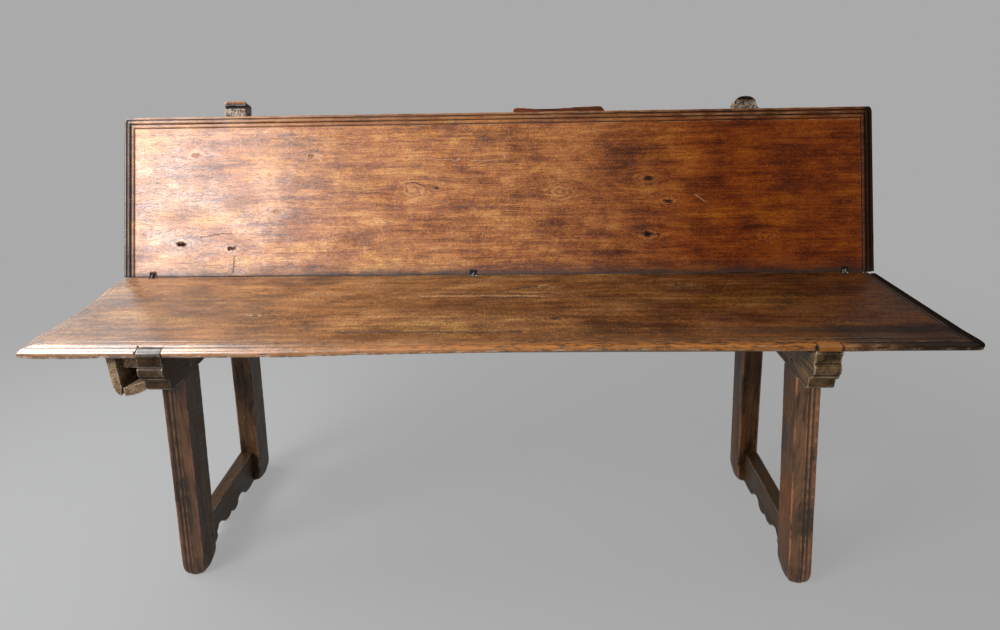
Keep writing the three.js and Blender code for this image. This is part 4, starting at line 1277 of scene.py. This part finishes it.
def bearer_heads(finish, colour, x, height, patches):
    """Rub the right bearer's head red and polish the left one."""
    on_right = finish.span(x, -0.1, 0.1)
    head = finish.times(on_right, finish.span(height, 0.4885, 0.4905))
    head = finish.times(head, finish.span(patches, 0.3, 0.5, 0.6, 1.0))
    colour = finish.mix(head, colour, HEAD_RED)
    from_middle = finish.maths("ABSOLUTE", finish.less(x, middle_of("right_bearer").x))
    border = finish.times(head, finish.span(from_middle, 0.0165, 0.019))
    colour = finish.mix(border, colour, HEAD_BORDER)
    near_top = finish.span(height, 0.4865, 0.4885, 0.0, 0.9)
    return colour, finish.times(finish.less(1.0, on_right), near_top)


def batten_heads(finish, colour, x, height, patches):
    """A pale neck, a black groove and a reddish cap on each batten's head."""
    neck = finish.span(height, 0.800, 0.806)
    neck = finish.times(neck, finish.span(height, 0.822, 0.8245, 1.0, 0.0))
    nicks = finish.noise(finish.place(), (230.0, 120.0, 140.0), 4.0, 0.75)
    neck = finish.times(neck, finish.span(nicks, 0.42, 0.6))
    colour = finish.mix(neck, colour, PALE_NECK)
    groove = finish.span(height, 0.8245, 0.8265)
    groove = finish.times(groove, finish.span(height, 0.8305, 0.8325, 1.0, 0.0))
    colour = finish.mix(groove, colour, NECK_GROOVE)
    cap = finish.times(finish.span(height, 0.8325, 0.8365), 0.7)
    return finish.mix(cap, colour, CAP_RED), 0.0


# %% [markdown]
# ## Bare wood and iron
# The pocket was never waxed. Its wood is pale, its ridges are painted paler as highlight, its
# hollows are painted dark as shade, and it is full of worm holes, which are the cells of a Voronoi
# pattern here, and only where a cloud of noise says that worms have been.
# The nails and hinge wire are dark iron with brown rust. Both finishes are short, because little of
# them shows.

# %% Bare wood and old iron
BARE_TONES = (
    (0.2, (0.04, 0.021, 0.009)), (0.5, (0.155, 0.090, 0.041)), (0.8, (0.38, 0.265, 0.15)),
)
WORM_HOLE = (0.06, 0.035, 0.02, 1)
DUST = (0.09, 0.06, 0.04, 1)
SUNNY_EDGE = (0.58, 0.49, 0.37, 1)
IRON_TONES = (
    (0.35, (0.022, 0.019, 0.017)), (0.52, (0.05, 0.043, 0.038)), (0.7, (0.07, 0.03, 0.014)),
)
RUBBED_IRON = (0.10, 0.09, 0.08, 1)


def bare_wood(name, turn):
    finish = Finish(name)
    place = finish.place(turn)
    figure = finish.noise(place, (6.0, 60.0, 60.0), 4.0, 0.6, 0.4)
    fibres = finish.noise(place, (25.0, 600.0, 600.0), 3.0, 0.7)
    crumbs = finish.noise(place, (260.0, 340.0, 340.0), 3.0, 0.8)
    tone = finish.weighted(((figure, 0.9), (fibres, 0.6), (crumbs, 1.3)))
    colour = finish.ramp(tone, BARE_TONES)
    cells = {"Vector": place, "Scale": 210.0, "Randomness": 1.0}
    holes = finish.add("ShaderNodeTexVoronoi", "Distance", cells)
    eaten = finish.span(finish.noise(place, (35.0, 60.0, 60.0), 2.0), 0.42, 0.55)
    worm = finish.times(finish.span(holes, 0.24, 0.32, 1.0, 0.0), eaten)
    colour = finish.mix(finish.times(worm, 0.85), colour, WORM_HOLE)
    # Painted shade in the pocket's hollows.
    hollow = finish.span(finish.attribute("hollow"), 0.2, 0.9)
    colour = finish.mix(finish.times(hollow, 0.6), colour, DUST)
    # Painted highlight on the pocket's ridges.
    ridge = finish.span(finish.attribute("ridge"), 0.3, 1.0)
    colour = finish.mix(finish.times(ridge, 0.6), colour, SUNNY_EDGE)
    dullness = finish.span(figure, 0.3, 0.7, 0.75, 0.9)
    normal = finish.bump(finish.less(fibres, worm), 0.7, 0.8 * MM)
    finish.use(Base_Color=colour, Roughness=dullness, Normal=normal)
    return finish.material


def old_iron(name):
    finish = Finish(name)
    place = finish.place()
    rust = finish.noise(place, (160.0, 160.0, 160.0), 5.0, 0.7)
    colour = finish.ramp(rust, IRON_TONES)
    dullness = finish.span(rust, 0.4, 0.65, 0.35, 0.75)
    metal = finish.span(rust, 0.45, 0.62, 0.6, 0.1)
    ridge = finish.span(finish.attribute("ridge"), 0.3, 1.0)
    colour = finish.mix(ridge, colour, RUBBED_IRON)
    normal = finish.bump(finish.noise(place, (420.0, 420.0, 420.0), 3.0), 0.4, 0.4 * MM)
    finish.use(Base_Color=colour, Roughness=dullness, Metallic=metal, Normal=normal)
    return finish.material


# %% [markdown]
# ## Which piece gets which finish
# A piece's name says what it is, so the finish is looked up by a word in its name. That keeps alike
# pieces alike, and a new piece needs one line here. The grain of each finish is turned to run along
# its pieces: a quarter turn about one axis for the legs, about another for the bearers.

# %% Give each piece its finish
ALONG_BENCH = (0, 0, 0)
UPRIGHT = (0, math.pi / 2, 0)
FRONT_TO_REAR = (0, 0, math.pi / 2)
UP_THE_BACK = (recline, math.pi / 2, 0)
DARK_BROWN = (0.014, 0.0075, 0.0035)
LEG_BROWN = (0.070, 0.037, 0.016)
finishes = {
    "old_leg": dark_wood(
        "leg_walnut", UPRIGHT, DARK_BROWN, LEG_BROWN, (0.16, 0.062, 0.027),
        sides=((0.95, 0.95, 0.95, 1), (1.42, 1.12, 0.74, 1)),
    ),
    # The bearers' ridges are painted pale, partly as rubbed wear and partly as a painted highlight.
    "carved_bearer": dark_wood(
        "bearer_walnut", FRONT_TO_REAR, DARK_BROWN, LEG_BROWN, (0.21, 0.14, 0.09),
        sides=((0.68, 0.70, 0.69, 1), (1.95, 2.1, 2.0, 1)), wear=bearer_heads,
    ),
    "scalloped_stretcher": dark_wood(
        "stretcher_walnut", FRONT_TO_REAR, DARK_BROWN, (0.058, 0.029, 0.011), (0.085, 0.040, 0.015),
    ),
    "old_batten": dark_wood(
        "batten_walnut", UP_THE_BACK, DARK_BROWN, (0.075, 0.040, 0.022), (0.36, 0.15, 0.055),
        wear=batten_heads,
    ),
    "hand_worn_grip": dark_wood(
        "grip_walnut", ALONG_BENCH, (0.05, 0.014, 0.006), (0.13, 0.036, 0.013), (0.30, 0.10, 0.035),
    ),
    "whittled": dark_wood(
        "peg_wood", ALONG_BENCH, (0.03, 0.018, 0.011), (0.08, 0.045, 0.025), (0.16, 0.09, 0.05),
    ),
    "worn_pocket": bare_wood("bare_pocket_wood", FRONT_TO_REAR),
    "forged": old_iron("old_iron"),
}
finishes["hinge_wire"] = finishes["forged"]
dressed = 0
for piece in bpy.context.scene.collection.objects:
    for word, material in finishes.items():
        if piece.type == "MESH" and word in piece.name:
            piece.data.materials.append(material)
            dressed += 1
print("Pieces given a finish by name:", dressed)

# %% [markdown]
# ## The floor
# The floor is a plain pale grey that fades into the background. Near the bench it takes part of its
# tone from the light, so that the bench's shadow stays, and far away it is all one tone, so that no
# edge shows. A curved backdrop would do the same, but it would have to move with the camera for the
# other views.

# %% Lay the floor
BACKGROUND = (0.402, 0.402, 0.402, 1)
bpy.ops.object.select_all(action="DESELECT")
bpy.ops.mesh.primitive_plane_add(size=60.0, location=(0, 0, 0))
floor = bpy.context.object
floor.name = "floor"
floor_paint = Finish("floor_paint")
spot = floor_paint.vector("MULTIPLY", floor_paint.place(), (1, 1, 0))
lit_share = floor_paint.span(floor_paint.length(spot), 0.8, 2.4, 0.22, 0.0)
paint = floor_paint.add("ShaderNodeBsdfDiffuse", "BSDF", {"Color": (0.5, 0.5, 0.5, 1)})
glow = floor_paint.add("ShaderNodeEmission", "Emission", {"Color": BACKGROUND, "Strength": 1.0})
seen = floor_paint.add("ShaderNodeMixShader", "Shader", {0: lit_share, 1: glow, 2: paint})
rays = floor_paint.tree.nodes.new("ShaderNodeLightPath")
direct = floor_paint.most(rays.outputs["Is Camera Ray"], rays.outputs["Is Glossy Ray"])
direct = floor_paint.most(direct, rays.outputs["Is Transmission Ray"])
whole = floor_paint.add("ShaderNodeMixShader", "Shader", {0: direct, 1: paint, 2: seen})
floor_paint.connect(floor_paint.tree.nodes["Material Output"].inputs["Surface"], whole)
floor.data.materials.append(floor_paint.material)
print("The floor fades out to", BACKGROUND[:3])

# %% [markdown]
# ## The light
# A soft window high on the left gives the planks their gloss. A skylight above the left end and a
# faint pale wall behind it shine on the seat's left end, and the room fills in the rest. The
# background is seen as the floor's grey, but what lights the bench is darker, so that the window
# keeps shaping it. A photographed room around the bench would need a picture, so lamps stand in.

# %% Set the room's tone
ROOM_FILL = (0.27, 0.27, 0.28, 1)
world = bpy.data.worlds.new("room")
bpy.context.scene.world = world
world.use_nodes = True
room = world.node_tree
room_light = room.nodes["Background"]
room_light.inputs["Color"].default_value = BACKGROUND
room_light.inputs["Strength"].default_value = 1.0
room_fill = room.nodes.new("ShaderNodeBackground")
room_fill.inputs["Color"].default_value = ROOM_FILL
room_fill.inputs["Strength"].default_value = 1.0
room_rays = room.nodes.new("ShaderNodeLightPath")
seen_directly = room_rays.outputs["Is Camera Ray"]
for ray in ("Is Glossy Ray", "Is Transmission Ray"):
    either = room.nodes.new("ShaderNodeMath")
    either.operation = "MAXIMUM"
    room.links.new(seen_directly, either.inputs[0])
    room.links.new(room_rays.outputs[ray], either.inputs[1])
    seen_directly = either.outputs[0]
both = room.nodes.new("ShaderNodeMixShader")
room.links.new(seen_directly, both.inputs[0])
room.links.new(room_fill.outputs[0], both.inputs[1])
room.links.new(room_light.outputs[0], both.inputs[2])
room.links.new(both.outputs[0], room.nodes["World Output"].inputs["Surface"])
bpy.context.scene.view_settings.view_transform = "Standard"
print("The room lights the bench with a tone of", ROOM_FILL[:3])


# %% Hang the lamps
def soft_lamp(name, place, aim, width, height, watts, colour):
    lamp_data = bpy.data.lights.new(name, "AREA")
    lamp_data.shape = "RECTANGLE"
    lamp_data.size = width
    lamp_data.size_y = height
    lamp_data.energy = watts
    lamp_data.color = colour
    lamp = bpy.data.objects.new(name, lamp_data)
    lamp.location = place
    lamp.rotation_euler = (Vector(aim) - Vector(place)).to_track_quat("-Z", "Y").to_euler()
    bpy.context.scene.collection.objects.link(lamp)


soft_lamp("window", (-1.75, -1.5, 1.7), (-0.2, 0.0, 0.55), 1.1, 1.1, 64, (0.98, 0.98, 1.0))
soft_lamp("skylight", (-1.6, 0.05, 1.78), (-0.6, -0.2, 0.5), 1.0, 1.2, 34, (0.95, 0.98, 1.0))
soft_lamp("pale_wall", (-1.86, 1.28, 1.18), (-0.6, -0.2, 0.5), 1.5, 1.2, 4, (0.92, 0.96, 1.0))
